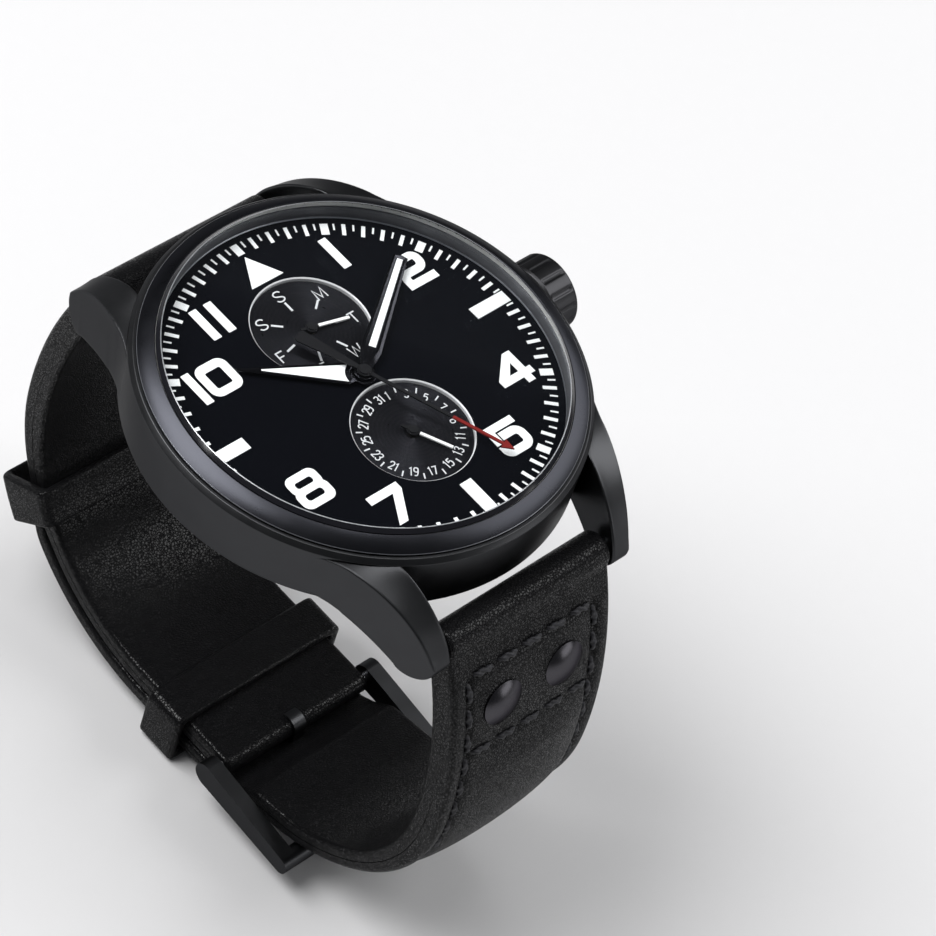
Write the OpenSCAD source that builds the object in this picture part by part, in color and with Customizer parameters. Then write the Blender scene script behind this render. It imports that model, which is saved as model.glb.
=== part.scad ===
// Wristwatch with day and date sub-dials on a riveted leather strap, millimetres.
// Dial faces +Z, 12 o'clock is +Y, crown is +X, origin on the case back's outer face.

/* [Case] */
// Outer radius of the round case
case_r = 23; // [20:0.5:25]
// Height of the case shoulder at the flank
case_top = 8.8; // [8.2:0.1:9.2]
// Height of the case underside
case_low = 1.7; // [1.5:0.1:2.2]
// Wall between the flank and the bore for the movement holder
case_wall = 3.5; // [3:0.1:4]
// Step from the flank in to the bezel's edge
bezel_step = 0.6; // [0.4:0.1:1]
// Width of the bezel ring in plan
bezel_w = 1.85; // [1.6:0.05:2.2]
// Height where the bezel's sloping face starts
bezel_low = 9.3; // [9.2:0.05:9.5]
// Height of the bezel's inner edge
bezel_top = 10.3; // [10:0.05:10.5]

/* [Lugs] */
// Half distance between lug faces where they leave the case
lug_gap = 12.32; // [11.5:0.1:13]
// Half distance between the outer faces at the lug tips
lug_tip_x = 13; // [12.6:0.1:14]
// Distance of the lug ends from the dial's 3-9 line
lug_end = 28; // [27:0.1:29]
// Radius of the fillet from the round case into the lug
lug_fillet = 15; // [12:0.5:18]
// Direction in which that fillet touches the case, degrees from 3 o'clock
lug_touch_a = 35.5; // [32:0.5:38]
// How much the faces close in per mm toward the tip
lug_draw = 0.18; // [0:0.02:0.25]
// Radius of the lug's curved back
lug_back_r = 14.02; // [13:0.1:16]
// Radius of the hollow under the lug
lug_under_r = 23.3; // [22:0.1:25]
// Height of the hollow at the spring bar, below the case back
lug_under_top = 1.9; // [1.4:0.1:2.4]
// Radius of the rounded tip
lug_tip_r = 2.3; // [1.8:0.1:2.6]
// Outward slope of the lug's back, degrees
lug_slope = 14; // [0:1:20]

/* [Crystal and dial] */
// Height of the crystal's flat top
crystal_top = 10.7; // [10.5:0.05:11]
// Thickness of the crystal
crystal_t = 1.15; // [0.9:0.05:1.3]
// How far the dial lies on its ledge in the case
dial_lap = 1.35; // [1:0.05:1.5]
// Height of the dial's face
dial_z = 8; // [7.9:0.05:8.1]
// Thickness of the dial plate
dial_t = 0.5; // [0.4:0.05:0.6]
// Radius of each sub-dial opening
sub_r = 6.13; // [5.5:0.05:6.2]
// Distance of each sub-dial from the dial centre
sub_off = 7.5; // [7.4:0.05:7.7]
// Thickness of a sub-dial disc fixed under the dial
sub_t = 0.2; // [0.1:0.05:0.25]
// Width of the bar at 3, 6 and 9 o'clock
mark_w = 1.45; // [1.2:0.05:1.6]
// Length of those bars
mark_l = 4.5; // [4:0.1:5]

/* [Hands] */
// Hour hand, centre to tip
hour_len = 12.5; // [11:0.1:13]
// Minute hand, centre to tip
minute_len = 15.6; // [14:0.1:16]
// Seconds hand, centre to tip
seconds_len = 16.4; // [15:0.1:17]
// Day and date hands, centre to tip
small_len = 4.2; // [3.8:0.1:4.6]
// Hour hand angle, clockwise from 12
hour_a = 304.6; // [0:0.1:360]
// Minute hand angle, clockwise from 12
minute_a = 55.2; // [0:0.1:360]
// Seconds hand angle, clockwise from 12
seconds_a = 158.3; // [0:0.1:360]
// Day hand angle, clockwise from 12
day_a = 104.3; // [0:0.1:360]
// Date hand angle, clockwise from 12
date_a = 152.2; // [0:0.1:360]

/* [Crown and stem] */
// Outer radius of the crown
crown_r = 4.1; // [3:0.1:4.2]
// Length of the crown
crown_l = 3.9; // [3.2:0.1:4.6]
// Gap between the crown and the flank when pushed in
crown_gap = 0.25; // [0.2:0.05:0.4]
// Height of the crown's axis
crown_z = 4.37; // [4.3:0.01:4.4]
// Number of flutes on the crown
crown_flutes = 14; // [8:1:24]
// Radius of the stem
stem_r = 0.6; // [0.5:0.05:0.7]
// Outer radius of the crown tube
tube_r = 1.5; // [1.3:0.05:1.7]

/* [Strap] */
// Strap width between the lugs
strap_w = 21.5; // [20:0.1:21.6]
// Strap width at the buckle
strap_w2 = 20; // [18:0.1:20.5]
// Strap thickness beside the lugs
strap_t = 3.2; // [2.6:0.1:3.4]
// Strap thickness at the buckle
strap_t2 = 2.4; // [2.2:0.1:2.6]
// Thickness of the tail where it lies over the other half
tail_t = 1.8; // [1.5:0.1:2]
// Radius of the strap's gentle curve beside the wrist
side_r = 52; // [48:0.5:56]
// Radius of the strap's bend under the wrist
bend_r = 24; // [23.5:0.1:24.5]
// Depth of the bend's centre below the case back
bend_drop = 22; // [20:0.5:26]
// Half width of the loop over the strap's sides at that depth
loop_y = 32.2; // [31:0.1:34]
// Radius of a spring bar
bar_r = 0.75; // [0.6:0.05:0.9]
// Distance of each spring bar from the dial centre line
bar_y = 25.1; // [25:0.05:25.2]
// Height of the spring bars
bar_z = 1.15; // [1:0.05:1.3]
// Radius of the leather roll round a spring bar
roll_r = 2; // [1.8:0.05:2]
// Radius of a rivet head
rivet_r = 2.3; // [1.8:0.1:2.4]
// Height of a rivet's dome
rivet_h = 1.1; // [0.8:0.1:1.3]
// Half distance between the two rivets
rivet_x = 4.15; // [3.5:0.05:5]

/* [Fits] */
// Radial clearance of turning pins and pipes
fit = 0.05; // [0.03:0.01:0.08]
// Clearance of leather against moving neighbours
slack = 0.5; // [0.4:0.05:0.6]

/* [Hidden] */
$fn = 72;
e = 0.01;

// Case levels
flange_z = 0.6;
back_in = 1;
holder_low = 2;
lip = 0.2;
gap = 0.1;
case_bore_r = case_r - case_wall;
bezel_r = case_r - bezel_step;
crystal_r = bezel_r - bezel_w;
dial_r = case_bore_r + dial_lap;
dial_low = dial_z - dial_t;
holder_r = case_bore_r - gap;
case_chamfer = 1.2;
bezel_seat = 0.45;
case_rim = case_top + 0.3;
plate_r = 16.2;
plate_low = 5.4;
plate_top = 6;
bridge_low = 2;
bridge_top = 2.6;
crystal_low = crystal_top - crystal_t;
gasket_w = 0.4;
flange_r = case_r - case_chamfer;
case_screw_r = case_bore_r + 1.2;
back_screw_r = 0.5;
back_head_r = 0.85;
seal_w = 0.4;
wall_t = 0.45;
wall_r = dial_r - wall_t;

// Lugs: the outer face is a line from the tip into the fillet, which meets the round case
lug_inner_y = case_bore_r;
lug_near = lug_fillet - 0.03;
lug_c = (case_r + lug_near) * [cos(lug_touch_a), sin(lug_touch_a)];
lug_tip = [lug_tip_x, lug_end];
lug_far = norm(lug_c - lug_tip);
lug_line_a = atan2(lug_c[1] - lug_tip[1], lug_c[0] - lug_tip[0]) - asin(lug_near / lug_far);
lug_touch = lug_tip + sqrt(lug_far * lug_far - lug_near * lug_near)
    * [cos(lug_line_a), sin(lug_line_a)];
lug_root = (case_r + 1) * [cos(33.8), sin(33.8)];
lug_under_c = [bar_y - 14.27, bar_z + lug_under_top - 0.05 - lug_under_r];
bar_end = lug_gap - 0.12;
bar_body = strap_w / 2 + 0.35;

mark_out = dial_r - dial_lap;

// Movement pins and pipes
pin_r = 0.15;
pipe_in = pin_r + fit;
pipe_out = 0.45;
hour_in = pipe_out + fit;
hour_out = 0.85;
dial_hole_r = hour_out + 0.1;
arbor_r = 0.4;

// Hand levels
hour_z = 8.45;
minute_z = 8.75;
seconds_z = 9.05;
small_z = 7.8;
hand_t = 0.15;

// Gear train: teeth, modules and places
motion_d = 3.6;
m_cannon = motion_d / 24;
m_hour = motion_d / 25;
minute_p = [motion_d, 0];
cal_d = m_hour * 60;
cal_p = [-cal_d, 0];
star_d = sqrt(cal_d * cal_d + sub_off * sub_off);
star_r = 4.9;
finger_r = star_d - star_r - 0.1;
m_centre = motion_d / 36;
m_third = motion_d / 34;
m_seconds = motion_d / 25;
m_fifth = 0.1;
third_a = 200;
fifth_a = 110;
rotor_a = 150;
third_p = motion_d * [cos(third_a), sin(third_a)];
fifth_p = motion_d * [cos(fifth_a), sin(fifth_a)];
rotor_p = fifth_p + 34 * m_fifth * [cos(rotor_a), sin(rotor_a)];

// Stem stations along +X
crown_in_x = case_r + crown_gap;
crown_x = crown_in_x + crown_l;
tube_in_x = case_bore_r + gap;
tube_out_x = case_r + 1.7;
stem_end_x = 8.1;
tail_block_x = 9;
lever_arm = 3;
pull = 1.2;
groove_x = 11.2;
lever_p = [groove_x + pull / 2, lever_arm];
pinion_x = 13;
pinion_l = 1.6;
crown_round = 0.8;
crown_bore_r = tube_r + 0.6;
square_s = 0.8;

// Battery and posts
coil_p = [-11.4, -3.9];
cell_p = [4.5, -8.7];
cell_r = 4.75;
cell_z = 2.3;
cell_t = 2.05;
posts = [[6.5, 5.5], [-8.5, -6.5], [-10, 7]];
post_r = 1.1;
screw_r = 0.35;

// Strap outline, worked out in the Y-Z plane of the 12 o'clock side
side_c = [loop_y - side_r, -bend_drop];
bend_c = [loop_y - bend_r, -bend_drop];
side_a0 = asin((bar_z - 0.55 + bend_drop) / side_r);
layer = strap_t2 + slack;
low_z = bend_c[1] - bend_r - 14;
buckle_y = 3 - bend_c[0];
buckle_z = bend_c[1] - bend_r + strap_t2 / 2;
front_r = 1.1;
front_y = buckle_y - 12.2;
front_z = bend_c[1] - sqrt(bend_r * bend_r - pow(front_y + bend_c[0], 2)) - front_r - 0.73;
tail_a = 62;
hole_w = 1.7;
keeper_t = 1.2;
keeper_w = 5;

black_steel = [0.06, 0.06, 0.065];
steel = [0.7, 0.7, 0.72];
brass = [0.75, 0.6, 0.3];
white = [0.93, 0.94, 0.9];
leather = [0.05, 0.05, 0.055];
rubber = [0.1, 0.1, 0.1];

// Round bar along +X between two stations
module xbar(x0, x1, r) translate([x0, 0, 0]) rotate([0, 90, 0]) cylinder(r = r, h = x1 - x0);

// Disc or ring between two heights
module ring(z0, z1, r, ri = 0) translate([0, 0, z0]) difference() {
    cylinder(r = r, h = z1 - z0);
    if (ri > 0) translate([0, 0, -1]) cylinder(r = ri, h = z1 - z0 + 2);
}

// Turn clockwise from 12 o'clock, as on a dial
module clock(a) rotate([0, 0, -a]) children();

// Put a flat outline drawn in the Y-Z plane across X, from x0 to x1
module across(x0, x1) translate([x0, 0, 0]) rotate([90, 0, 90]) linear_extrude(x1 - x0)
    children();

// Points of a circle arc, r may change evenly from r0 to r1
function arc(c, r0, r1, a0, a1, n) = [for (i = [0 : n]) let (t = i / n)
    c + (r0 + (r1 - r0) * t) * [cos(a0 + (a1 - a0) * t), sin(a0 + (a1 - a0) * t)]];

function backward(p) = [for (i = [len(p) - 1 : -1 : 0]) p[i]];

// Tooth phase of gear b that meshes with gear a standing in direction d from a
function mesh(na, nb, d, pa) = d + 180 - (na / nb) * (pa - d) - 180 / nb;

// Gear with straight flanked teeth, m is the module
module gear(n, m, z0, z1, ph = 0, ri = 0) {
    rp = n * m / 2;
    p = 360 / n;
    pts = [for (i = [0 : n - 1]) each [for (q = [[-0.34, -1.2], [-0.24, 0], [-0.1, 0.85],
        [0.1, 0.85], [0.24, 0], [0.34, -1.2]])
        (rp + q[1] * m) * [cos(ph + (i + q[0]) * p), sin(ph + (i + q[0]) * p)]]];
    translate([0, 0, z0]) linear_extrude(z1 - z0) difference() {
        polygon(pts);
        if (ri > 0) circle(r = ri);
    }
}

// Round windows that lighten a wheel
module windows(n, r, hr, z0, z1) for (i = [0 : n - 1])
    rotate([0, 0, i * 360 / n]) translate([r, 0, z0 - 1]) cylinder(r = hr, h = z1 - z0 + 2);

// Lug outline in plan, first quadrant
module lug_plan() difference() {
    polygon([
        [lug_gap + lug_draw * (lug_inner_y - lug_root[1]), lug_root[1]],
        [lug_gap - lug_draw * (lug_end - lug_inner_y), lug_end], lug_tip, lug_touch, lug_root]);
    translate(lug_c) circle(r = lug_fillet, $fn = 144);
}

// Lug outline from the side: hollow underside and round tip
module lug_side() difference() {
    translate([case_r / 2, -4]) square([case_r, case_top + 4]);
    translate(lug_under_c) circle(r = lug_under_r, $fn = 180);
    difference() {
        translate([bar_y - 0.2, bar_z - 7]) square([6, 6.85]);
        translate([bar_y - 0.2, bar_z - 0.15]) circle(r = lug_tip_r);
    }
}

module lug() intersection() {
    translate([0, 0, -5]) linear_extrude(16) lug_plan();
    across(5, 25) lug_side();
    translate([12, 14.44, -4.69]) rotate([0, lug_slope, 0]) xbar(-12, 14, lug_back_r);
}

module mid_case() color(black_steel) difference() {
    union() {
        rotate_extrude($fn = 144) polygon([
            [case_bore_r - 4, case_low], [flange_r, case_low], [case_r, case_low + 0.8],
            [case_r, case_top], [bezel_r + e, case_rim], [case_bore_r - 4, case_rim]]);
        for (mx = [0, 1], my = [0, 1]) mirror([mx, 0, 0]) mirror([0, my, 0]) lug();
    }
    ring(case_low - 1, dial_low, case_bore_r);
    ring(dial_low, case_top + 1, dial_r + fit);
    ring(case_top - lip, case_top + 1, bezel_r - bezel_seat);
    translate([0, 0, crown_z]) xbar(10, case_r + 2, tube_r);
    for (s = [-1, 1], t = [-1, 1]) translate([0, s * bar_y, bar_z])
        scale([t, 1, 1]) xbar(bar_end - 3, bar_end + gap, 0.4);
    for (i = [0 : 3]) rotate([0, 0, 45 + i * 90]) translate([case_screw_r, 0, case_low - 1])
        cylinder(r = back_screw_r, h = 2.5);
}

module bezel() color(black_steel) rotate_extrude($fn = 144) polygon([
    [crystal_r + gasket_w, case_top - lip], [bezel_r - bezel_seat, case_top - lip],
    [bezel_r - bezel_seat, bezel_low - gap], [bezel_r, bezel_low],
    [crystal_r + fit, bezel_top], [crystal_r + fit, bezel_top - lip],
    [crystal_r + gasket_w, bezel_top - lip]]);

module crystal() color([0.8, 0.85, 0.9, 0.3]) rotate_extrude($fn = 144) polygon([
    [0, crystal_low], [crystal_r, crystal_low], [crystal_r, bezel_top],
    [crystal_r - 2 * (crystal_top - bezel_top), crystal_top], [0, crystal_top]]);

module crystal_gasket() color(white)
    ring(crystal_low, bezel_top - lip, crystal_r + gasket_w, crystal_r);

module rehaut_ring() color(black_steel) rotate_extrude($fn = 144) polygon([
    [wall_r, dial_z], [dial_r, dial_z], [dial_r, crystal_low],
    [wall_r + fit, crystal_low], [wall_r + fit, dial_z + lip + gap], [wall_r, dial_z + lip]]);

module case_back() color(black_steel) difference() {
    rotate_extrude($fn = 144) polygon([
        [0, 0], [holder_r - 1.5 * flange_z, 0], [holder_r - flange_z / 2, flange_z],
        [flange_r - 0.4, flange_z], [flange_r, flange_z + 0.4], [flange_r, case_low],
        [holder_r, case_low], [holder_r, holder_low], [holder_r - 2, holder_low],
        [holder_r - 2, back_in], [0, back_in]]);
    ring(case_low - 0.3, case_low + 0.5, case_bore_r + gap + seal_w, case_bore_r + gap);
    for (i = [0 : 3]) rotate([0, 0, 45 + i * 90]) translate([case_screw_r, 0, 0]) {
        translate([0, 0, -1]) cylinder(r = back_head_r, h = 1.5 + flange_z);
        cylinder(r = back_screw_r, h = 3);
    }
}

module case_back_gasket() color(rubber)
    ring(case_low - 0.3, case_low, case_bore_r + gap + seal_w, case_bore_r + gap);

module case_back_screws() color(steel) for (i = [0 : 3])
    rotate([0, 0, 45 + i * 90]) translate([case_screw_r, 0, 0]) difference() {
        union() {
            translate([0, 0, flange_z + fit]) cylinder(r = back_head_r, h = 0.45);
            translate([0, 0, flange_z + 0.4]) cylinder(r = back_screw_r, h = 2.2);
        }
        translate([-1, -0.12, 0]) cube([2, 0.24, flange_z + 0.25]);
    }

module crown_tube() color(steel) translate([0, 0, crown_z]) difference() {
    xbar(tube_in_x, tube_out_x, tube_r);
    xbar(tube_in_x - 1, tube_out_x + 1, stem_r + fit);
}

module movement_holder() color([0.85, 0.85, 0.82]) difference() {
    ring(holder_low, dial_low, holder_r, plate_r - 0.4);
    ring(plate_low, dial_low + 1, plate_r);
    translate([plate_r - 1.2, -2.2, crown_z - 1.4]) cube([case_wall + 2.5, 4.4, 2.8]);
}

module crown() color(black_steel) translate([0, 0, crown_z]) rotate([0, 90, 0]) difference() {
    rotate_extrude($fn = 96) union() {
        translate([0, crown_in_x]) square([crown_r, crown_l - crown_round]);
        translate([0, crown_in_x]) square([crown_r - crown_round, crown_l]);
        translate([crown_r - crown_round, crown_x - crown_round]) circle(r = crown_round);
    }
    for (i = [0 : crown_flutes - 1]) rotate([0, 0, (i + 0.5) * 360 / crown_flutes])
        translate([crown_r - 0.22, -0.14, case_r]) cube([1, 0.28, crown_l - crown_round + 0.35]);
    translate([0, 0, case_r - 1]) cylinder(r = crown_bore_r, h = crown_l - 0.7);
    translate([0, 0, case_r - 1]) cylinder(r = stem_r, h = crown_l + 0.3);
}

module crown_gasket() color(rubber) translate([0, 0, crown_z]) difference() {
    xbar(case_r + 0.7, case_r + 1.5, crown_bore_r);
    xbar(case_r - 1, case_r + 3, tube_r + fit);
}

module stem() color(steel) translate([0, 0, crown_z]) difference() {
    union() {
        xbar(pinion_x + pinion_l + pull + 0.2, case_r + 3.2, stem_r);
        translate([groove_x + 0.3, -square_s / 2, -square_s / 2])
            cube([pinion_x + pinion_l + pull - groove_x, square_s, square_s]);
        xbar(groove_x - 0.3, groove_x + 0.4, 0.3);
        xbar(groove_x - 0.8, groove_x - 0.3, stem_r);
        xbar(stem_end_x, groove_x - 0.5, 0.35);
    }
}

module winding_pinion() color(steel) translate([0, 0, crown_z]) difference() {
    union() {
        rotate([0, 90, 0]) gear(12, 0.14, pinion_x, pinion_x + pinion_l - 0.5);
        xbar(pinion_x + pinion_l - 0.6, pinion_x + pinion_l, 0.85);
    }
    translate([pinion_x - 1, -square_s / 2 - fit, -square_s / 2 - fit])
        cube([pinion_l + 2, square_s + 2 * fit, square_s + 2 * fit]);
}

module setting_lever() color(steel) translate([lever_p[0], lever_p[1], crown_z - 0.15]) {
    difference() {
        union() {
            cylinder(r = 0.8, h = 0.3);
            rotate([0, 0, -90 - 0.2 * 180 / PI]) translate([0, -0.3, 0])
                cube([lever_arm - 0.75, 0.6, 0.3]);
            rotate([0, 0, -90 - 0.2 * 180 / PI]) translate([lever_arm - 0.85, -0.17, 0])
                cube([0.45, 0.34, 0.3]);
            rotate([0, 0, 60]) translate([0, -0.3, 0]) cube([2, 0.6, 0.3]);
        }
        translate([0, 0, -1]) cylinder(r = arbor_r + fit, h = 3);
    }
}

// Plate that carries both sides of the train, with posts, stem block and battery well
module main_plate() color(steel) difference() {
    union() {
        ring(plate_low, plate_top, plate_r);
        for (p = posts) translate([p[0], p[1], 0]) ring(bridge_top, plate_low + e, post_r);
        translate([pinion_x + pinion_l + 0.05, -1.6, crown_z - 1.1])
            cube([0.9, 3.2, plate_low - crown_z + 1.1 + e]);
        translate([pinion_x - 0.75, -1.4, crown_z + 0.45])
            cube([0.7, 2.8, plate_low - crown_z - 0.4]);
        translate([tail_block_x, -1.4, crown_z - 1])
            cube([0.9, 2.8, plate_low - crown_z + 1 + e]);
        translate([lever_p[0], lever_p[1], 0]) ring(crown_z - 0.3, plate_low + e, arbor_r);
        translate([0, 0, plate_top - e]) for (p = [minute_p, cal_p])
            translate(p) cylinder(r = 0.2, h = 1.1);
    }
    ring(plate_low - 1, plate_top + 1, pipe_out + fit);
    for (p = [third_p, fifth_p, rotor_p]) translate([p[0], p[1], plate_low - 1])
        cylinder(r = pin_r + fit, h = 1.4);
    for (s = [-1, 1]) translate([0, s * sub_off, plate_low - 1])
        cylinder(r = arbor_r + fit, h = 3);
    for (p = posts) translate([p[0], p[1], 0]) cylinder(r = screw_r, h = 4.2);
    translate([0, 0, crown_z]) xbar(7, 20, 0.35 + fit);
    translate([0, 0, crown_z]) xbar(pinion_x, 20, stem_r + fit);
}

module train_bridge() color(brass) difference() {
    translate([0, 0, bridge_low]) linear_extrude(bridge_top - bridge_low) offset(r = 2)
        polygon([posts[0], posts[1], posts[2], [-2, 9]]);
    for (p = [[0, 0], third_p, fifth_p, rotor_p]) translate([p[0], p[1], bridge_low - 1])
        cylinder(r = pin_r + fit, h = 3);
    for (p = posts) translate([p[0], p[1], 0]) cylinder(r = screw_r, h = 4.2);
    translate([cell_p[0], cell_p[1], 0]) cylinder(r = cell_r + 0.3, h = 5);
}

module bridge_screws() color(steel) for (p = posts) translate([p[0], p[1], 0])
    difference() {
        union() {
            translate([0, 0, bridge_low - 0.4]) cylinder(r = 0.75, h = 0.4);
            translate([0, 0, bridge_low - e]) cylinder(r = screw_r, h = 2);
        }
        translate([-1, -0.1, bridge_low - 0.5]) cube([2, 0.2, 0.25]);
    }

module circuit_board() color([0.1, 0.3, 0.15]) difference() {
    translate([0, 0, bridge_low - 0.4]) linear_extrude(0.4) offset(r = 1)
        polygon([[4, 4.5], [-6, -4], [-7.5, 5], [-2, 8.5]]);
    ring(0, 3, 0.6);
}

module battery() color(steel) translate([cell_p[0], cell_p[1], 0]) {
    ring(cell_z + 0.25, cell_z + cell_t, cell_r);
    ring(cell_z, cell_z + 0.26, cell_r - 0.6);
}

module battery_clip() color(brass) difference() {
    union() {
        translate([cell_p[0], cell_p[1], 0]) ring(cell_z - 0.3, cell_z, 1.8);
        translate([cell_p[0] - 1, cell_p[1], cell_z - 0.3]) cube([2, 7.6, 0.3]);
        translate([cell_p[0] - 1, cell_p[1] + 5.4, cell_z - 0.3])
            cube([2, 2.2, plate_low - cell_z + 0.3]);
    }
}

module stator() color(steel) difference() {
    union() {
        translate([0, 0, 4]) linear_extrude(0.3)
            polygon([[-2.2, 5.4], [-4.2, 7.4], [-12.2, 3.5], [-12.2, 1.9], [-6, 3.1]]);
        translate([rotor_p[0], rotor_p[1], 4]) cylinder(r = 2.4, h = 0.3);
        translate([coil_p[0] - 0.5, coil_p[1] - 0.7, 4]) cube([1, 6.6, 0.3]);
    }
    translate([rotor_p[0], rotor_p[1], 0]) cylinder(r = 1.3, h = 8);
    translate([fifth_p[0], fifth_p[1], 0]) cylinder(r = 1.1, h = 8);
}

// Coil on its bobbin, round the stator's straight core
module coil() color([0.7, 0.35, 0.15]) difference() {
    translate([coil_p[0], coil_p[1], 4.15]) rotate([0, 0, 90]) {
        xbar(0, 5.2, 1.1);
        xbar(-0.5, e, 1.25);
        xbar(5.2 - e, 5.6, 1.25);
    }
    translate([coil_p[0] - 0.5 - fit, coil_p[1] - 2, 4 - fit])
        cube([1 + 2 * fit, 9, 0.3 + 2 * fit]);
}

module rotor() color([0.25, 0.25, 0.28]) translate([rotor_p[0], rotor_p[1], 0]) {
    ring(bridge_low + 0.1, plate_low + 0.3, pin_r);
    gear(8, m_fifth, 3.15, 3.6, rotor_ph);
    ring(3.6, 4.6, 1.1);
}

seconds_ph = 0;
fifth_ph = mesh(40, 10, fifth_a, seconds_ph);
fifth_wheel_ph = 0;
rotor_ph = mesh(60, 8, rotor_a, fifth_wheel_ph);
third_ph = mesh(8, 60, third_a, 0);
centre_ph = mesh(8, 64, third_a + 180, 0);
minute_ph = mesh(12, 36, 0, 0);
hour_ph = mesh(10, 40, 180, 0);
cal_ph = mesh(40, 80, 180, hour_ph);

module fifth_wheel() color(brass) translate([fifth_p[0], fifth_p[1], 0]) {
    ring(bridge_low + 0.1, plate_low + 0.3, pin_r);
    gear(10, m_seconds, 3.45, 4.3, fifth_ph);
    difference() {
        gear(60, m_fifth, 3.25, 3.45, fifth_wheel_ph);
        windows(5, 1.9, 0.6, 3.25, 3.45);
    }
}

module seconds_wheel() color(brass) {
    ring(bridge_low + 0.1, seconds_z + 0.1, pin_r);
    gear(8, m_third, 4.3, 4.75, 0);
    difference() {
        gear(40, m_seconds, 3.9, 4.1, seconds_ph);
        windows(4, 1.7, 0.7, 3.9, 4.1);
    }
    ring(4.1, 4.3, 0.5);
}

module third_wheel() color(brass) translate([third_p[0], third_p[1], 0]) {
    ring(bridge_low + 0.1, plate_low + 0.3, pin_r);
    gear(8, m_centre, 4.6, 5.3, 0);
    difference() {
        gear(60, m_third, 4.4, 4.6, third_ph);
        windows(5, 2.1, 0.6, 4.4, 4.6);
    }
}

module cannon_pinion() color(brass) difference() {
    union() {
        ring(4.95, minute_z + 0.12, pipe_out);
        ring(4.95, 5.05, 0.9);
        gear(12, m_cannon, 6.1, 6.5, 0);
        difference() {
            gear(64, m_centre, 5.05, 5.2, centre_ph);
            windows(5, 2.1, 0.65, 5.05, 5.2);
        }
    }
    ring(4, 10, pipe_in);
}

module minute_wheel() color(brass) translate([minute_p[0], minute_p[1], 0]) difference() {
    union() {
        gear(36, m_cannon, 6.15, 6.35, minute_ph);
        gear(10, m_hour, 6.35, 6.9, 0);
    }
    windows(4, 1.7, 0.5, 6.15, 6.35);
    ring(5, 8, 0.2 + fit);
}

module hour_wheel() color(brass) difference() {
    union() {
        ring(6.6, hour_z + 0.12, hour_out);
        difference() {
            gear(40, m_hour, 6.6, 6.8, hour_ph);
            windows(4, 1.9, 0.6, 6.6, 6.8);
        }
    }
    ring(6, 9, hour_in);
}

module calendar_wheel() color(brass) translate([cal_p[0], cal_p[1], 0]) difference() {
    union() {
        difference() {
            gear(80, m_hour, 6.6, 6.8, cal_ph);
            windows(6, 3.4, 1.1, 6.6, 6.8);
        }
        ring(6.1, 7.2, 0.8);
        for (a = [150, 215]) rotate([0, 0, a]) translate([0, -0.35, 7])
            cube([finger_r - 0.1, 0.7, 0.2]);
    }
    ring(5, 8, 0.2 + fit);
}

// Star wheel with its arbor through a sub-dial, n points
module star(n, deep) {
    ring(plate_low + 0.05, small_z + 0.1, arbor_r);
    translate([0, 0, 7]) linear_extrude(0.2) polygon([for (i = [0 : 2 * n - 1])
        (i % 2 == 0 ? star_r : star_r - deep) * [cos(i * 180 / n), sin(i * 180 / n)]]);
}

module day_wheel() color(brass) translate([0, sub_off, 0]) star(7, 1.6);

module date_wheel() color(brass) translate([0, -sub_off, 0]) star(31, 0.6);

module dial() color([0.03, 0.03, 0.04]) difference() {
    ring(dial_low, dial_z, dial_r, dial_hole_r);
    for (s = [-1, 1]) translate([0, s * sub_off, 0]) {
        ring(dial_low - 1, dial_z + 1, sub_r);
        translate([0, 0, dial_z - 0.08]) cylinder(r1 = sub_r, r2 = sub_r + gap, h = gap);
    }
}

module subdial(s) translate([0, s * sub_off, 0])
    ring(dial_low - sub_t, dial_low, sub_r + lip, arbor_r + gap);

module day_subdial() color([0.05, 0.05, 0.06]) subdial(1);

module date_subdial() color([0.05, 0.05, 0.06]) subdial(-1);

module dial_markers() color(white) {
    translate([0, 0, dial_z]) linear_extrude(gap)
        polygon([[0, mark_out - 1.8], [-2.04, mark_out - 5.35], [2.04, mark_out - 5.35]]);
    for (a = [90, 180, 270]) clock(a) translate([-mark_w / 2, mark_out - mark_l, dial_z])
        cube([mark_w, mark_l, gap]);
}

module hour_lume() polygon([[0.1, hour_len - 2.43], [1.02, 2], [0.45, 1.55], [-0.45, 1.55],
    [-1.02, 2], [-0.1, hour_len - 2.43]]);

module hour_hand() color(black_steel) clock(hour_a) translate([0, 0, hour_z]) difference() {
    union() {
        linear_extrude(hand_t) polygon([[0.14, hour_len], [1.32, 1.9], [0.5, -0.3],
            [-0.5, -0.3], [-1.32, 1.9], [-0.14, hour_len]]);
        cylinder(r = 1.25, h = hand_t);
    }
    translate([0, 0, -1]) linear_extrude(2) hour_lume();
    translate([0, 0, -1]) cylinder(r = hour_out, h = 2);
}

module hour_hand_lume() color(white) clock(hour_a) translate([0, 0, hour_z])
    linear_extrude(hand_t) hour_lume();

module minute_lume() polygon([[0.28, minute_len - 0.35], [0.35, 3.4], [-0.35, 3.4],
    [-0.28, minute_len - 0.35]]);

module minute_hand() color(black_steel) clock(minute_a) translate([0, 0, minute_z])
    linear_extrude(hand_t) difference() {
        union() {
            polygon([[0.72, minute_len - 0.2], [0, minute_len], [-0.72, minute_len - 0.2],
                [-1, 3], [-0.45, 0], [0.45, 0], [1, 3]]);
            circle(r = 0.95);
        }
        minute_lume();
        circle(r = pipe_out);
    }

module minute_hand_lume() color(white) clock(minute_a) translate([0, 0, minute_z])
    linear_extrude(hand_t) minute_lume();

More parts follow.
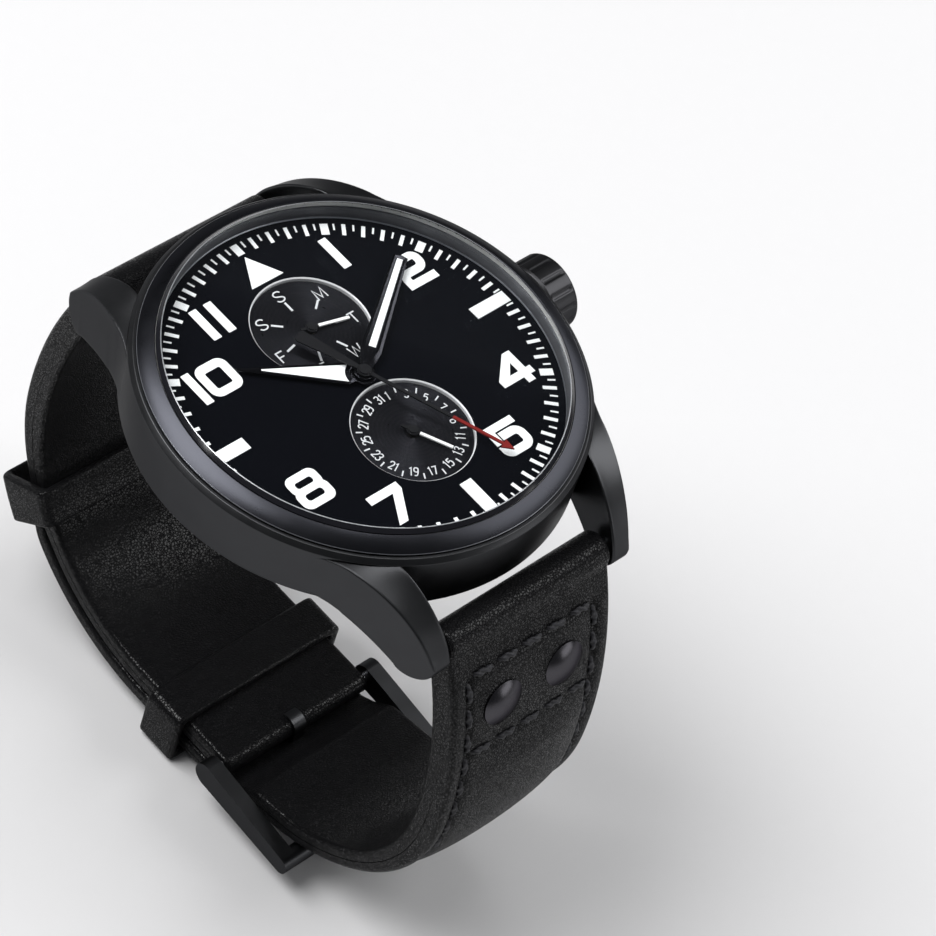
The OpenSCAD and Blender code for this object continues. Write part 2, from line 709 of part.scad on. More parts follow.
module seconds_hand() color([0.7, 0.08, 0.05]) clock(seconds_a) {
    translate([0, 0, seconds_z]) linear_extrude(hand_t) difference() {
        union() {
            polygon([[0.17, seconds_len - 1.2], [0.58, seconds_len - 1.2], [0, seconds_len],
                [-0.58, seconds_len - 1.2], [-0.17, seconds_len - 1.2], [-0.2, 0],
                [-0.75, -7], [-0.55, -7.4], [0.55, -7.4], [0.75, -7], [0.2, 0]]);
            circle(r = 0.75);
        }
        circle(r = pin_r);
    }
    ring(seconds_z + 0.1, seconds_z + 0.3, 0.6);
}

// Small hand with a short counter tail
module small_hand(s, a) translate([0, s * sub_off, 0]) clock(a) {
    translate([0, 0, small_z]) linear_extrude(0.15) difference() {
        union() {
            polygon([[0.16, small_len], [0.16, -1.2], [-0.16, -1.2], [-0.16, small_len]]);
            circle(r = 0.62);
        }
        circle(r = arbor_r);
    }
    ring(small_z + 0.1, small_z + 0.3, 0.45);
}

module day_hand() color(white) small_hand(1, day_a);

module date_hand() color(white) small_hand(-1, date_a);

module spring_bar() color(steel) {
    xbar(-bar_body, bar_body, bar_r);
    xbar(-bar_end, bar_end, 0.4);
}

module spring_bar_12() translate([0, bar_y, bar_z]) spring_bar();

module spring_bar_6() translate([0, -bar_y, bar_z]) spring_bar();

// Both strap faces from the roll down the side and round the bend to angle a1
function side_out(a1) = concat(
    arc(side_c, side_r, side_r, side_a0, 0, 8), arc(bend_c, bend_r, bend_r, -6, a1, 16));
function side_in(a1) = concat(
    arc(side_c, side_r - strap_t, side_r - strap_t, side_a0, 0, 8),
    arc(bend_c, bend_r - strap_t, bend_r - strap_t2, -6, -42, 6),
    arc(bend_c, bend_r - strap_t2, bend_r - strap_t2, -46, a1, 10));

// Straight edges of the strap in front view, wide at the lugs and narrow below
module strap_width(w0, w1) translate([0, 2 * loop_y, 0]) rotate([90, 0, 0])
    linear_extrude(4 * loop_y) polygon([[-w1 / 2, low_z], [w1 / 2, low_z],
        [w1 / 2, bend_c[1] - 18], [w0 / 2, bar_z - roll_r], [w0 / 2, bar_z + roll_r + 1],
        [-w0 / 2, bar_z + roll_r + 1], [-w0 / 2, bar_z - roll_r], [-w1 / 2, bend_c[1] - 18]]);

module rivet_at() translate([0, side_c[0], side_c[1]]) rotate([rivet_a, 0, 0])
    translate([0, side_r, 0]) rotate([-90, 0, 0]) children();

module rivet() {
    intersection() {
        cylinder(r = rivet_r, h = 3);
        translate([0, 0, rivet_h - dome_r]) sphere(r = dome_r);
    }
    translate([0, 0, -strap_t - 0.5]) cylinder(r = 0.8, h = strap_t + 0.6);
    translate([0, 0, -strap_t - 0.6]) cylinder(r = 1.8, h = 0.5);
}
rivet_a = asin((bend_drop - 7.23) / side_r);
dome_r = (rivet_r * rivet_r + rivet_h * rivet_h) / (2 * rivet_h);

module rivet_holes() for (s = [-1, 1]) rivet_at() translate([s * rivet_x, 0, 0]) {
    translate([0, 0, -strap_t - 0.6]) cylinder(r = 0.8, h = strap_t + 2);
    translate([0, 0, -strap_t - 1]) cylinder(r = 1.8, h = 0.9);
}

module rivets() color([0.02, 0.02, 0.02]) for (s = [-1, 1]) rivet_at()
    translate([s * rivet_x, 0, 0]) rivet();

module rivets_12() rivets();

module rivets_6() mirror([0, 1, 0]) rivets();

module strap_12() color(leather) difference() {
    intersection() {
        union() {
            across(-12, 12)
                polygon(concat(side_out(-90), [[buckle_y, bend_c[1] - bend_r],
                    [buckle_y, bend_c[1] - bend_r + strap_t2]], backward(side_in(-90))));
            translate([0, bar_y, bar_z]) xbar(-12, 12, roll_r);
            translate([0, buckle_y, buckle_z]) xbar(-12, 12, strap_t2 / 2 + 0.1);
        }
        strap_width(strap_w, strap_w2);
    }
    translate([0, bar_y, bar_z]) xbar(-15, 15, bar_r + fit);
    translate([0, buckle_y, buckle_z]) xbar(-15, 15, bar_r + fit);
    translate([-1.6, buckle_y - 3, buckle_z - 3]) cube([3.2, 5.2, 6]);
    rivet_holes();
}

// Tail: the 6 o'clock half goes on under the frame and over the other half
tail_in_z = bend_c[1] - bend_r - slack;
tail_out_z = tail_in_z - tail_t;
module tail_outline() polygon(concat(
    [for (p = side_out(-78)) p],
    [[bend_c[0] - 1.8, tail_out_z + 0.6], [bend_c[0] - 3.6, tail_out_z]],
    [for (p = arc(bend_c, bend_r + slack + tail_t, bend_r + slack + tail_t, -90, -90 + tail_a, 14))
        [-p[0], p[1]]],
    backward([for (p = arc(bend_c, bend_r + slack, bend_r + slack, -90, -90 + tail_a, 14))
        [-p[0], p[1]]]),
    [[bend_c[0] - 2.2, tail_in_z], [bend_c[0] - 0.4, tail_in_z + 1],
        [bend_c[0] + 2, tail_in_z + layer + lip]],
    backward(side_in(-70))));

module tail_hole(y, z, a) translate([0, y, z]) rotate([a, 0, 0]) translate([0, 0, -4])
    cylinder(r = hole_w / 2, h = 8);

module strap_6() color(leather) mirror([0, 1, 0]) difference() {
    intersection() {
        union() {
            across(-12, 12) tail_outline();
            translate([0, bar_y, bar_z]) xbar(-12, 12, roll_r);
        }
        strap_width(strap_w, strap_w2);
    }
    translate([0, bar_y, bar_z]) xbar(-15, 15, bar_r + fit);
    rivet_holes();
    translate([-1.2, bend_c[0] - 4, tail_out_z - 2]) cube([2.4, 5, 7]);
    for (t = [0.2, 1]) tail_hole(-t * bend_c[0], tail_in_z, 0);
    for (a = [14, 28]) translate([0, -bend_c[0], bend_c[1]]) rotate([-a, 0, 0])
        translate([0, 0, -bend_r - slack - tail_t / 2 - 2]) cylinder(r = hole_w / 2, h = 4);
    translate([0, -bend_c[0], bend_c[1]]) rotate([-tail_a, 0, 0])
        translate([0, 0, -bend_r - 4]) difference() {
            translate([-15, -2, 0]) cube([30, 14, 8]);
            translate([0, 9.6, -1]) cylinder(r = 10.6, h = 10);
            translate([-15, 6, -1]) cube([30, 14, 10]);
        }
}

// Loop round both layers on the bend, between two angles
module loop(a0, a1) translate([0, bend_c[0], bend_c[1]]) rotate([0, 90, 0]) {
    difference() {
        translate([0, 0, -strap_w2 / 2 - 1.6]) rotate([0, 0, a0])
            rotate_extrude(angle = a1 - a0, $fn = 144)
            translate([bend_r - strap_t2 - 1.5, 0]) square([layer + tail_t + 2.5, strap_w2 + 3.2]);
        translate([0, 0, -strap_w2 / 2 - 0.4]) rotate([0, 0, a0 - 5])
            rotate_extrude(angle = a1 - a0 + 10, $fn = 144)
            translate([bend_r - strap_t2 - 0.4, 0]) square([layer + tail_t + 0.8, strap_w2 + 0.8]);
    }
}

module keeper_free() color(leather) loop(28, 40);

module keeper_fixed() color(leather) translate([0, buckle_y + 5.6, 0]) difference() {
    translate([-strap_w2 / 2 - 1.6, 0, tail_out_z - 1.6])
        cube([strap_w2 + 3.2, keeper_w, layer + tail_t + 2.6]);
    translate([-strap_w2 / 2 - 0.4, -1, tail_out_z - 0.5])
        cube([strap_w2 + 0.8, keeper_w + 2, layer + tail_t + 0.5]);
}

module buckle_frame() color(black_steel) difference() {
    union() {
        for (s = [-1, 1]) mirror([s < 0 ? 1 : 0, 0, 0]) {
            hull() {
                translate([0, buckle_y, buckle_z]) xbar(strap_w2 / 2 + 0.45, strap_w2 / 2 + 2.2, 1.5);
                translate([0, front_y, front_z])
                    xbar(strap_w2 / 2 + 0.45, strap_w2 / 2 + 2.2, front_r);
            }
        }
        translate([0, front_y, front_z]) xbar(-strap_w2 / 2 - 1, strap_w2 / 2 + 1, front_r);
    }
    translate([0, buckle_y, buckle_z]) xbar(-strap_w2 / 2 - 1.6, strap_w2 / 2 + 1.6, bar_r);
}

module buckle_bar() color(steel) translate([0, buckle_y, buckle_z])
    xbar(-strap_w2 / 2 - 1.6, strap_w2 / 2 + 1.6, bar_r);

module buckle_tang() color(black_steel) difference() {
    union() {
        translate([0, buckle_y, buckle_z]) xbar(-0.8, 0.8, bar_r + 0.7);
        across(-0.8, 0.8)
            polygon([[buckle_y - 1.2, buckle_z - 0.3], [buckle_y + 0.3, buckle_z - 1.3],
                [buckle_y - 1.2, tail_out_z - 1.5], [front_y + 0.8, front_z - 2.45],
                [front_y - 1, front_z - 1.9], [front_y - 0.8, front_z - 1.3],
                [front_y + 0.8, front_z - 1.3], [buckle_y - 2.2, tail_out_z - 0.3]]);
    }
    translate([0, buckle_y, buckle_z]) xbar(-3, 3, bar_r + fit);
}

mid_case();
bezel();
crystal();
crystal_gasket();
rehaut_ring();
case_back();
case_back_gasket();
case_back_screws();
crown_tube();
movement_holder();
crown();
stem();
crown_gasket();
dial();
day_subdial();
date_subdial();
dial_markers();
hour_hand();
hour_hand_lume();
minute_hand();
minute_hand_lume();
seconds_hand();
day_hand();
date_hand();
main_plate();
train_bridge();
hour_wheel();
cannon_pinion();
seconds_wheel();
minute_wheel();
third_wheel();
fifth_wheel();
rotor();
stator();
coil();
circuit_board();
battery();
battery_clip();
setting_lever();
winding_pinion();
day_wheel();
date_wheel();
calendar_wheel();
bridge_screws();
strap_12();
strap_6();
rivets_12();
rivets_6();
spring_bar_12();
spring_bar_6();
keeper_fixed();
keeper_free();
buckle_frame();
buckle_tang();
buckle_bar();
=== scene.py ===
"""Looks of a black wristwatch with day and date sub-dials, on a riveted leather strap.

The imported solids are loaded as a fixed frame. Pieces that a solid can't dress well are worked out
with numpy in millimetres and put in their place; every other solid keeps its shape and gets a finish.
Each Finish mixes one material, each Skin gathers one mesh, and one class builds each sub-assembly.
"""
import logging
import math
from dataclasses import dataclass, field
from enum import Enum
from typing import Any, Callable, Optional, Sequence, Union

import bmesh
import bpy
import numpy as np
from mathutils import Matrix, Vector


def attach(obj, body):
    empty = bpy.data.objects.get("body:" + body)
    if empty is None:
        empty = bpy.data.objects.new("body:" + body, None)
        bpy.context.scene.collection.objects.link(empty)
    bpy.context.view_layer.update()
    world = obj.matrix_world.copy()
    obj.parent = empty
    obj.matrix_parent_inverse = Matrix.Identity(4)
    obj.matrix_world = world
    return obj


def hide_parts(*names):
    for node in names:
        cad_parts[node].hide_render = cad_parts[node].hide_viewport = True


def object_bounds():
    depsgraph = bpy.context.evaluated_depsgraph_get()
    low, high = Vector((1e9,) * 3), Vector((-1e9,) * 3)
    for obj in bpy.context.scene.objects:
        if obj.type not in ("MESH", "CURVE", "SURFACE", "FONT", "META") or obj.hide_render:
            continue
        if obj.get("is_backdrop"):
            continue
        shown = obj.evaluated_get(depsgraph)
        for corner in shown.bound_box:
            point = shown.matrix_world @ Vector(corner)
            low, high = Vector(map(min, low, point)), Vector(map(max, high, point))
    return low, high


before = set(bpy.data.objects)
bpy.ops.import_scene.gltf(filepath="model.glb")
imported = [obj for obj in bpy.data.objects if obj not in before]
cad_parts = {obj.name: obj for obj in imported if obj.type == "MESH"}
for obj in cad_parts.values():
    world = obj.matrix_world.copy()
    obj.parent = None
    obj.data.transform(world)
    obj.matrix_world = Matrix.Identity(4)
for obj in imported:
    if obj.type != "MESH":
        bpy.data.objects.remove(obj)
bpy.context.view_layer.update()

log = logging.getLogger("watch")
Array = np.ndarray
Colour = tuple[float, float, float]
Place = tuple[float, float, float]
Pair = tuple[float, float]
MM = 0.001  # metres in a millimetre; every length is in millimetres until Skin.build
MERGE = 1.5e-6  # points nearer to each other than this, in metres, become one
FLOOR_GAP = 0.05  # millimetres between the lowest piece and the paper


# ---------------------------------------------------------------- shader maths


class Wire:
    """One output of a node tree; arithmetic on it adds the Math nodes it needs."""

    def __init__(self, tree: bpy.types.NodeTree, socket: bpy.types.NodeSocket) -> None:
        """Keep the tree and the output socket."""
        self.tree = tree
        self.socket = socket

    def math(self, operation: str, *values: "Value") -> "Wire":
        """Add one Math node.

        Args:
            operation: the Math node's operation.
            values: its inputs in order, wires or numbers.

        Returns:
            The node's output.
        """
        node = self.tree.nodes.new("ShaderNodeMath")
        node.operation = operation
        for slot, value in zip(node.inputs, values):
            plug(self.tree, slot, value)
        return Wire(self.tree, node.outputs[0])

    def __add__(self, other: "Value") -> "Wire":
        """self + other."""
        return self.math("ADD", self, other)

    def __radd__(self, other: "Value") -> "Wire":
        """other + self."""
        return self.math("ADD", other, self)

    def __sub__(self, other: "Value") -> "Wire":
        """self - other."""
        return self.math("SUBTRACT", self, other)

    def __rsub__(self, other: "Value") -> "Wire":
        """other - self."""
        return self.math("SUBTRACT", other, self)

    def __mul__(self, other: "Value") -> "Wire":
        """self * other."""
        return self.math("MULTIPLY", self, other)

    def __rmul__(self, other: "Value") -> "Wire":
        """other * self."""
        return self.math("MULTIPLY", other, self)

    def __pow__(self, other: "Value") -> "Wire":
        """self to the power other."""
        return self.math("POWER", self, other)

    def above(self, edge: float) -> "Wire":
        """1 where self is greater than edge, 0 elsewhere."""
        return self.math("GREATER_THAN", self, edge)

    def sine(self) -> "Wire":
        """The sine of self."""
        return self.math("SINE", self)

    def wave(self) -> "Wire":
        """The sine of self, moved to lie between 0 and 1."""
        return (self.sine() + 1.0) * 0.5

    def clamped(self) -> "Wire":
        """Self held between 0 and 1."""
        return self.math("MINIMUM", self.math("MAXIMUM", self, 0.0), 1.0)


Value = Union[Wire, float]


def plug(tree: bpy.types.NodeTree, slot: bpy.types.NodeSocket, value: Any) -> None:
    """Link a wire to an input, or set the input's own value.

    Args:
        tree: the node tree.
        slot: the input.
        value: a wire, a number or a tuple; a colour may leave out its alpha.
    """
    if isinstance(value, Wire):
        tree.links.new(value.socket, slot)
    elif isinstance(value, tuple) and slot.type == "RGBA" and len(value) == 3:
        slot.default_value = (*value, 1.0)
    else:
        slot.default_value = value


class Paintbox:
    """A material while it is mixed: its tree, its surface shader and the maker of its nodes."""

    def __init__(self, name: str) -> None:
        """Start a material with an empty tree and one Principled surface.

        Args:
            name: the material's name.
        """
        self.material = bpy.data.materials.new(name)
        self.material.use_nodes = True
        self.tree = self.material.node_tree
        self.tree.nodes.clear()
        self.output = self.tree.nodes.new("ShaderNodeOutputMaterial")
        self.shader = self.tree.nodes.new("ShaderNodeBsdfPrincipled")
        self.tree.links.new(self.shader.outputs[0], self.output.inputs[0])

    def node(self, kind: str, settings: dict[str, Any], inputs: dict[Any, Any], out: Any = 0) -> Wire:
        """Add any node.

        Args:
            kind: the node's type name.
            settings: the node's own settings, set first.
            inputs: values or wires by socket name or number.
            out: the output wanted, by name or number.

        Returns:
            That output.
        """
        node = self.tree.nodes.new(kind)
        for key, value in settings.items():
            setattr(node, key, value)
        for key, value in inputs.items():
            plug(self.tree, node.inputs[key], value)
        return Wire(self.tree, node.outputs[out])

    def place(self, centre: Place = (0.0, 0.0, 0.0)) -> Wire:
        """Object coordinates in millimetres from a centre.

        Args:
            centre: the pattern's own centre in millimetres.

        Returns:
            The position vector.
        """
        here = self.node("ShaderNodeTexCoord", {}, {}, "Object")
        grown = self.node("ShaderNodeVectorMath", {"operation": "SCALE"}, {0: here, "Scale": 1 / MM})
        return self.node("ShaderNodeVectorMath", {"operation": "SUBTRACT"}, {0: grown, 1: centre})

    def parts(self, vector: Wire) -> tuple[Wire, Wire, Wire]:
        """The x, y and z of a vector."""
        first = self.node("ShaderNodeSeparateXYZ", {}, {0: vector})
        return tuple(Wire(self.tree, out) for out in first.socket.node.outputs)

    def along(self, vector: Wire, direction: Place) -> Wire:
        """How far a vector reaches along a direction."""
        return self.node("ShaderNodeVectorMath", {"operation": "DOT_PRODUCT"}, {0: vector, 1: direction},
                         "Value")

    def noise(self, vector: Wire, scale: float, detail: float = 3.0, rough: float = 0.5) -> Wire:
        """Soft noise from 0 to 1, with scale in waves per millimetre."""
        return self.node("ShaderNodeTexNoise", {}, {"Vector": vector, "Scale": scale, "Detail": detail,
                                                    "Roughness": rough})

    def cells(self, vector: Wire, scale: float, feature: str = "DISTANCE_TO_EDGE") -> Wire:
        """Distance inside a cell pattern, with scale in cells per millimetre."""
        return self.node("ShaderNodeTexVoronoi", {"feature": feature}, {"Vector": vector, "Scale": scale},
                         "Distance")

    def blend(self, factor: Value, first: Any, second: Any) -> Wire:
        """The first colour where the factor is 0, the second where it is 1, mixed in between."""
        return self.node("ShaderNodeMix", {"data_type": "RGBA"}, {0: factor, 6: first, 7: second}, 2)

    def surface(self, **values: Any) -> None:
        """Set the surface shader's sockets; underscores in a name stand for spaces."""
        for key, value in values.items():
            plug(self.tree, self.shader.inputs[key.replace("_", " ")], value)

    def bump(self, height: Wire, depth: float) -> None:
        """Feed the normal from a height.

        Args:
            height: the height field, about 0 to 1.
            depth: what a height of 1 stands for, in millimetres.
        """
        normal = self.node("ShaderNodeBump", {}, {"Strength": 1.0, "Distance": depth * MM, "Height": height})
        self.surface(Normal=normal)


def toned(tint: Colour, share: float) -> Colour:
    """A colour made darker or lighter by one share."""
    return tuple(share * c for c in tint)


@dataclass(frozen=True)
class Finish:
    """A surface finish; one material is made for each and shared."""

    name: str

    def mix(self, box: Paintbox) -> None:
        """Fill the material's nodes.

        Args:
            box: the material that is being mixed.
        """

    def material(self) -> bpy.types.Material:
        """The finish's material, made once.

        Returns:
            The material, found again by the finish's name.
        """
        made = bpy.data.materials.get(self.name)
        if made is None:
            box = Paintbox(self.name)
            self.mix(box)
            made = box.material
        return made


@dataclass(frozen=True)
class SatinCoat(Finish):
    """Blasted and coated black steel: dark, soft sheen, fine grain."""

    tint: Colour = (0.056, 0.057, 0.060)
    rough: float = 0.36
    metal: float = 1.0
    grain: float = 0.004
    edge: float = 0.45

    def mix(self, box: Paintbox) -> None:
        """Grain in the bump, cloudy gloss and a slight change of tone.

        Args:
            box: the material that is being mixed.
        """
        here = box.place()
        cloud = box.noise(here, 0.35, 4.0)
        fine = box.noise(here, 9.0, 2.0)
        box.surface(Base_Color=box.blend(cloud, toned(self.tint, 0.82), self.tint), Metallic=self.metal,
                    Roughness=self.rough + 0.10 * (cloud - 0.5) + 0.08 * (fine - 0.5),
                    Specular_Tint=(self.edge, self.edge, self.edge))
        box.bump(fine, self.grain)


@dataclass(frozen=True)
class GlossCoat(Finish):
    """Gloss black coating with faint wipe marks."""

    tint: Colour = (0.012, 0.012, 0.013)
    rough: float = 0.16
    metal: float = 0.0
    edge: float = 1.0

    def mix(self, box: Paintbox) -> None:
        """Nearly mirror smooth, with faint uneven gloss.

        Args:
            box: the material that is being mixed.
        """
        here = box.place()
        smear = box.noise(here, 0.8, 5.0, 0.6)
        box.surface(Base_Color=box.blend(smear, self.tint, toned(self.tint, 1.3)),
                    Metallic=self.metal, Roughness=self.rough + 0.08 * (smear - 0.4), IOR=1.5,
                    Specular_Tint=(self.edge, self.edge, self.edge))
        box.bump(box.noise(here, 3.0), 0.001)


@dataclass(frozen=True)
class Leather(Finish):
    """Fine-grained black leather: grains parted by creases, waxed where they stand highest, with painted
    shade darkening the creases.
    """

    tint: Colour = (0.0014, 0.0014, 0.0018)
    light: Colour = (0.0066, 0.0066, 0.0076)
    cell: float = 3.4
    small_cell: float = 2.1
    drift: float = 0.5
    wax: float = 0.50
    depth: float = 0.23

    def mix(self, box: Paintbox) -> None:
        """Grains of two sizes, their places shifted by noise, over a soft unevenness.

        Args:
            box: the material that is being mixed.
        """
        here = box.place()
        wander = box.node("ShaderNodeTexNoise", {}, {"Vector": here, "Scale": 0.9}, "Color")
        shift = box.node("ShaderNodeVectorMath", {"operation": "SCALE"}, {0: wander, "Scale": self.drift})
        spot = box.node("ShaderNodeVectorMath", {"operation": "ADD"}, {0: here, 1: shift})
        crease = (box.cells(spot, self.cell) * 3.6).clamped()
        small = (box.cells(spot, self.cell * self.small_cell) * 2.6).clamped()
        cloud = box.noise(here, 0.22, 4.0, 0.6)
        height = 0.42 * crease + 0.26 * small + 0.40 * box.noise(here, 1.1, 4.0)
        # painted shade: the base colour is darker along the creases between grains and lighter on their
        # tops; the cloud term adds random tone
        box.surface(Base_Color=box.blend(0.35 * crease + 0.3 * cloud, self.tint, self.light),
                    Roughness=0.46 - 0.10 * crease + 0.16 * (cloud - 0.5), IOR=1.45,
                    Specular_IOR_Level=0.08, Coat_Weight=self.wax * crease * crease, Coat_Roughness=0.27,
                    Coat_IOR=1.5)
        box.bump(height, self.depth)


@dataclass(frozen=True)
class Thread(Finish):
    """Waxed sewing thread, two plies."""

    tint: Colour = (0.012, 0.012, 0.014)

    def mix(self, box: Paintbox) -> None:
        """Fine slanted fibres.

        Args:
            box: the material that is being mixed.
        """
        here = box.place()
        x, y, z = box.parts(here)
        fibre = (x * 9.0 + y * 7.0 + z * 11.0).wave()
        box.surface(Base_Color=box.blend(fibre, self.tint, toned(self.tint, 2.4)),
                    Roughness=0.55 + 0.1 * fibre, Specular_IOR_Level=0.25)
        box.bump(fibre, 0.02)


@dataclass(frozen=True)
class DialLacquer(Finish):
    """Matt black dial with a blue cast and a faint speckle."""

    tint: Colour = (0.0016, 0.0019, 0.0030)

    def mix(self, box: Paintbox) -> None:
        """Tiny grains under flat lacquer.

        Args:
            box: the material that is being mixed.
        """
        here = box.place()
        speck = box.noise(here, 14.0, 2.0)
        cloud = box.noise(here, 0.12, 2.0)
        box.surface(Base_Color=box.blend(cloud, self.tint, toned(self.tint, 1.35)),
                    Roughness=0.36 + 0.10 * speck, IOR=1.3, Specular_IOR_Level=0.07)
        box.bump(speck, 0.0012)


@dataclass(frozen=True)
class Snailed(Finish):
    """Black coat on a disc that is turned with fine rings round its own centre."""

    centre: Place = (0.0, 0.0, 0.0)
    tint: Colour = (0.021, 0.021, 0.025)
    pitch: float = 0.43

    def mix(self, box: Paintbox) -> None:
        """A slow wave over the radius varies the gloss; the fine rings are in the mesh.

        Args:
            box: the material that is being mixed.
        """
        x, y, _ = box.parts(box.place(self.centre))
        radius = (x * x + y * y) ** 0.5
        wander = box.noise(box.place(self.centre), 1.2, 3.0)
        ring = (radius * (2 * math.pi / self.pitch) + 3.0 * wander).wave()
        box.surface(Base_Color=box.blend(ring, toned(self.tint, 0.85), self.tint),
                    Metallic=0.9, Roughness=0.25 + 0.08 * wander + 0.03 * ring)
        box.bump(wander, 0.001)


@dataclass(frozen=True)
class Paint(Finish):
    """Thick matt print or luminous filling."""

    tint: Colour = (0.80, 0.81, 0.79)

    def mix(self, box: Paintbox) -> None:
        """Powdery tone with a little unevenness.

        Args:
            box: the material that is being mixed.
        """
        here = box.place()
        powder = box.noise(here, 5.0, 4.0, 0.7)
        box.surface(Base_Color=box.blend(powder, toned(self.tint, 0.93), self.tint),
                    Roughness=0.62 + 0.12 * powder, IOR=1.4)
        box.bump(powder, 0.008)


@dataclass(frozen=True)
class TwoTone(Finish):
    """A hand with a black tail and a coloured front, parted across its length."""

    direction: Place = (0.0, 1.0, 0.0)
    centre: Place = (0.0, 0.0, 0.0)
    start: float = 1.0
    front: Colour = (0.17, 0.010, 0.008)
    back: Colour = (0.006, 0.006, 0.007)

    def mix(self, box: Paintbox) -> None:
        """Colour by distance along the hand, with uneven lacquer.

        Args:
            box: the material that is being mixed.
        """
        here = box.place(self.centre)
        ahead = box.along(here, self.direction).above(self.start)
        soft = box.noise(here, 2.5, 3.0)
        box.surface(Base_Color=box.blend(ahead, self.back, self.front), Roughness=0.34 + 0.1 * soft,
                    IOR=1.5, Specular_IOR_Level=0.28)
        box.bump(soft, 0.002)


class Grain(Enum):
    """How a bare metal was finished."""

    BRUSHED = "long straight lines"
    PEARLED = "overlapping round spots"
    POLISHED = "buffed"


@dataclass(frozen=True)
class Metal(Finish):
    """Bare metal: steel, brass or plated brass."""

    tint: Colour = (0.58, 0.58, 0.60)
    rough: float = 0.25
    grain: Grain = Grain.BRUSHED

    def mix(self, box: Paintbox) -> None:
        """Lines, spots or faint wipe marks in the gloss and the bump.

        Args:
            box: the material that is being mixed.
        """
        here = box.place()
        x, y, z = box.parts(here)
        if self.grain is Grain.BRUSHED:
            drawn = box.node("ShaderNodeCombineXYZ", {}, {0: x * 0.25, 1: y * 9.0, 2: z * 3.0})
            mark = box.noise(drawn, 1.0)
        elif self.grain is Grain.PEARLED:
            mark = (box.cells(here, 0.55, "F1") * 34.0).wave()
        else:
            mark = box.noise(here, 1.5, 5.0, 0.6)
        box.surface(Base_Color=box.blend(mark, toned(self.tint, 0.86), self.tint),
                    Metallic=1.0, Roughness=self.rough + 0.12 * (mark - 0.5))
        box.bump(mark, 0.0025)


@dataclass(frozen=True)
class Moulded(Finish):
    """Moulded plastic or rubber."""

    tint: Colour = (0.5, 0.5, 0.5)
    rough: float = 0.5

    def mix(self, box: Paintbox) -> None:
        """Even colour with a fine spark-eroded grain.

        Args:
            box: the material that is being mixed.
        """
        here = box.place()
        grain = box.noise(here, 6.0, 3.0)
        box.surface(Base_Color=box.blend(grain, toned(self.tint, 0.88), self.tint),
                    Roughness=self.rough + 0.1 * (grain - 0.5))
        box.bump(grain, 0.01)


@dataclass(frozen=True)
class Winding(Finish):
    """Enamelled copper wire wound side by side along x."""

    tint: Colour = (0.42, 0.16, 0.05)
    wire: float = 0.11

    def mix(self, box: Paintbox) -> None:
        """One wave for each turn of wire.

        Args:
            box: the material that is being mixed.
        """
        x, _, _ = box.parts(box.place())
        turn = (x * (2 * math.pi / self.wire)).wave()
        box.surface(Base_Color=box.blend(turn, toned(self.tint, 0.4), self.tint),
                    Metallic=0.7, Roughness=0.28 + 0.1 * turn)
        box.bump(turn, 0.04)


@dataclass(frozen=True)
class Board(Finish):
    """Green circuit board with copper tracks under the mask."""

    tint: Colour = (0.01, 0.07, 0.03)
    track: Colour = (0.03, 0.16, 0.06)

    def mix(self, box: Paintbox) -> None:
        """Tracks on a square grid, broken by cells.

        Args:
            box: the material that is being mixed.
        """
        here = box.place()
        x, y, _ = box.parts(here)
        lane = (x * 4.2).sine().above(0.55) + (y * 3.4).sine().above(0.62)
        on = (lane * box.cells(here, 0.35, "F1").above(0.38)).clamped()
        box.surface(Base_Color=box.blend(on, self.tint, self.track), Roughness=0.35 - 0.08 * on)
        box.bump(on, 0.02)


@dataclass(frozen=True)
class ClearGlass(Finish):
    """Coated crystal: see-through, with a little mirror that grows at grazing angles."""

    share: float = 0.05

    def mix(self, box: Paintbox) -> None:
        """Transparent and gloss mixed by Fresnel.

        Args:
            box: the material that is being mixed.
        """
        grey = box.noise(box.place(), 0.4, 2.0)
        fresnel = box.node("ShaderNodeFresnel", {}, {"IOR": 1.5})
        box.surface(Base_Color=(0.92, 0.95, 1.0), Metallic=1.0, Roughness=0.03 + 0.02 * grey)
        clear = box.node("ShaderNodeBsdfTransparent", {}, {"Color": (0.985, 0.99, 0.995)})
        mixed = box.node("ShaderNodeMixShader", {}, {0: fresnel * self.share, 1: clear,
                                                     2: Wire(box.tree, box.shader.outputs[0])})
        box.tree.links.new(mixed.socket, box.output.inputs[0])


@dataclass(frozen=True)
class Backdrop(Finish):
    """Pale studio paper."""

    tint: Colour = (0.62, 0.617, 0.622)

    def mix(self, box: Paintbox) -> None:
        """Plain matt tone with a trace of tooth.

        Args:
            box: the material that is being mixed.
        """
        tooth = box.noise(box.place(), 0.5, 3.0)
        box.surface(Base_Color=box.blend(tooth, toned(self.tint, 0.985), self.tint),
                    Roughness=0.9)


CASE_COAT = SatinCoat("case_coat")
BEZEL_COAT = SatinCoat("bezel_coat", tint=(0.036, 0.037, 0.043), rough=0.30)
BEZEL_EDGE = Metal("bezel_edge", tint=(0.30, 0.31, 0.34), rough=0.30, grain=Grain.POLISHED)
CROWN_COAT = SatinCoat("crown_coat", tint=(0.048, 0.048, 0.051), rough=0.36)
WALL_COAT = SatinCoat("wall_coat", tint=(0.135, 0.138, 0.150), rough=0.48, metal=0.35,
                      edge=0.8)
WALL_LIP = Metal("wall_lip", tint=(0.50, 0.52, 0.56), rough=0.36, grain=Grain.POLISHED)
GLASS_EDGE = GlossCoat("glass_edge", tint=(0.006, 0.006, 0.008), rough=0.12)
GLASS_LINE = Metal("glass_line", tint=(0.88, 0.90, 0.93), rough=0.32, grain=Grain.POLISHED)
SUBDIAL_RIM = SatinCoat("subdial_rim", tint=(0.86, 0.86, 0.86), rough=0.36, metal=0.15,
                        edge=1.0)
CRYSTAL = ClearGlass("crystal_clear")
LEATHER = Leather("leather_black")
THREAD = Thread("thread_black")
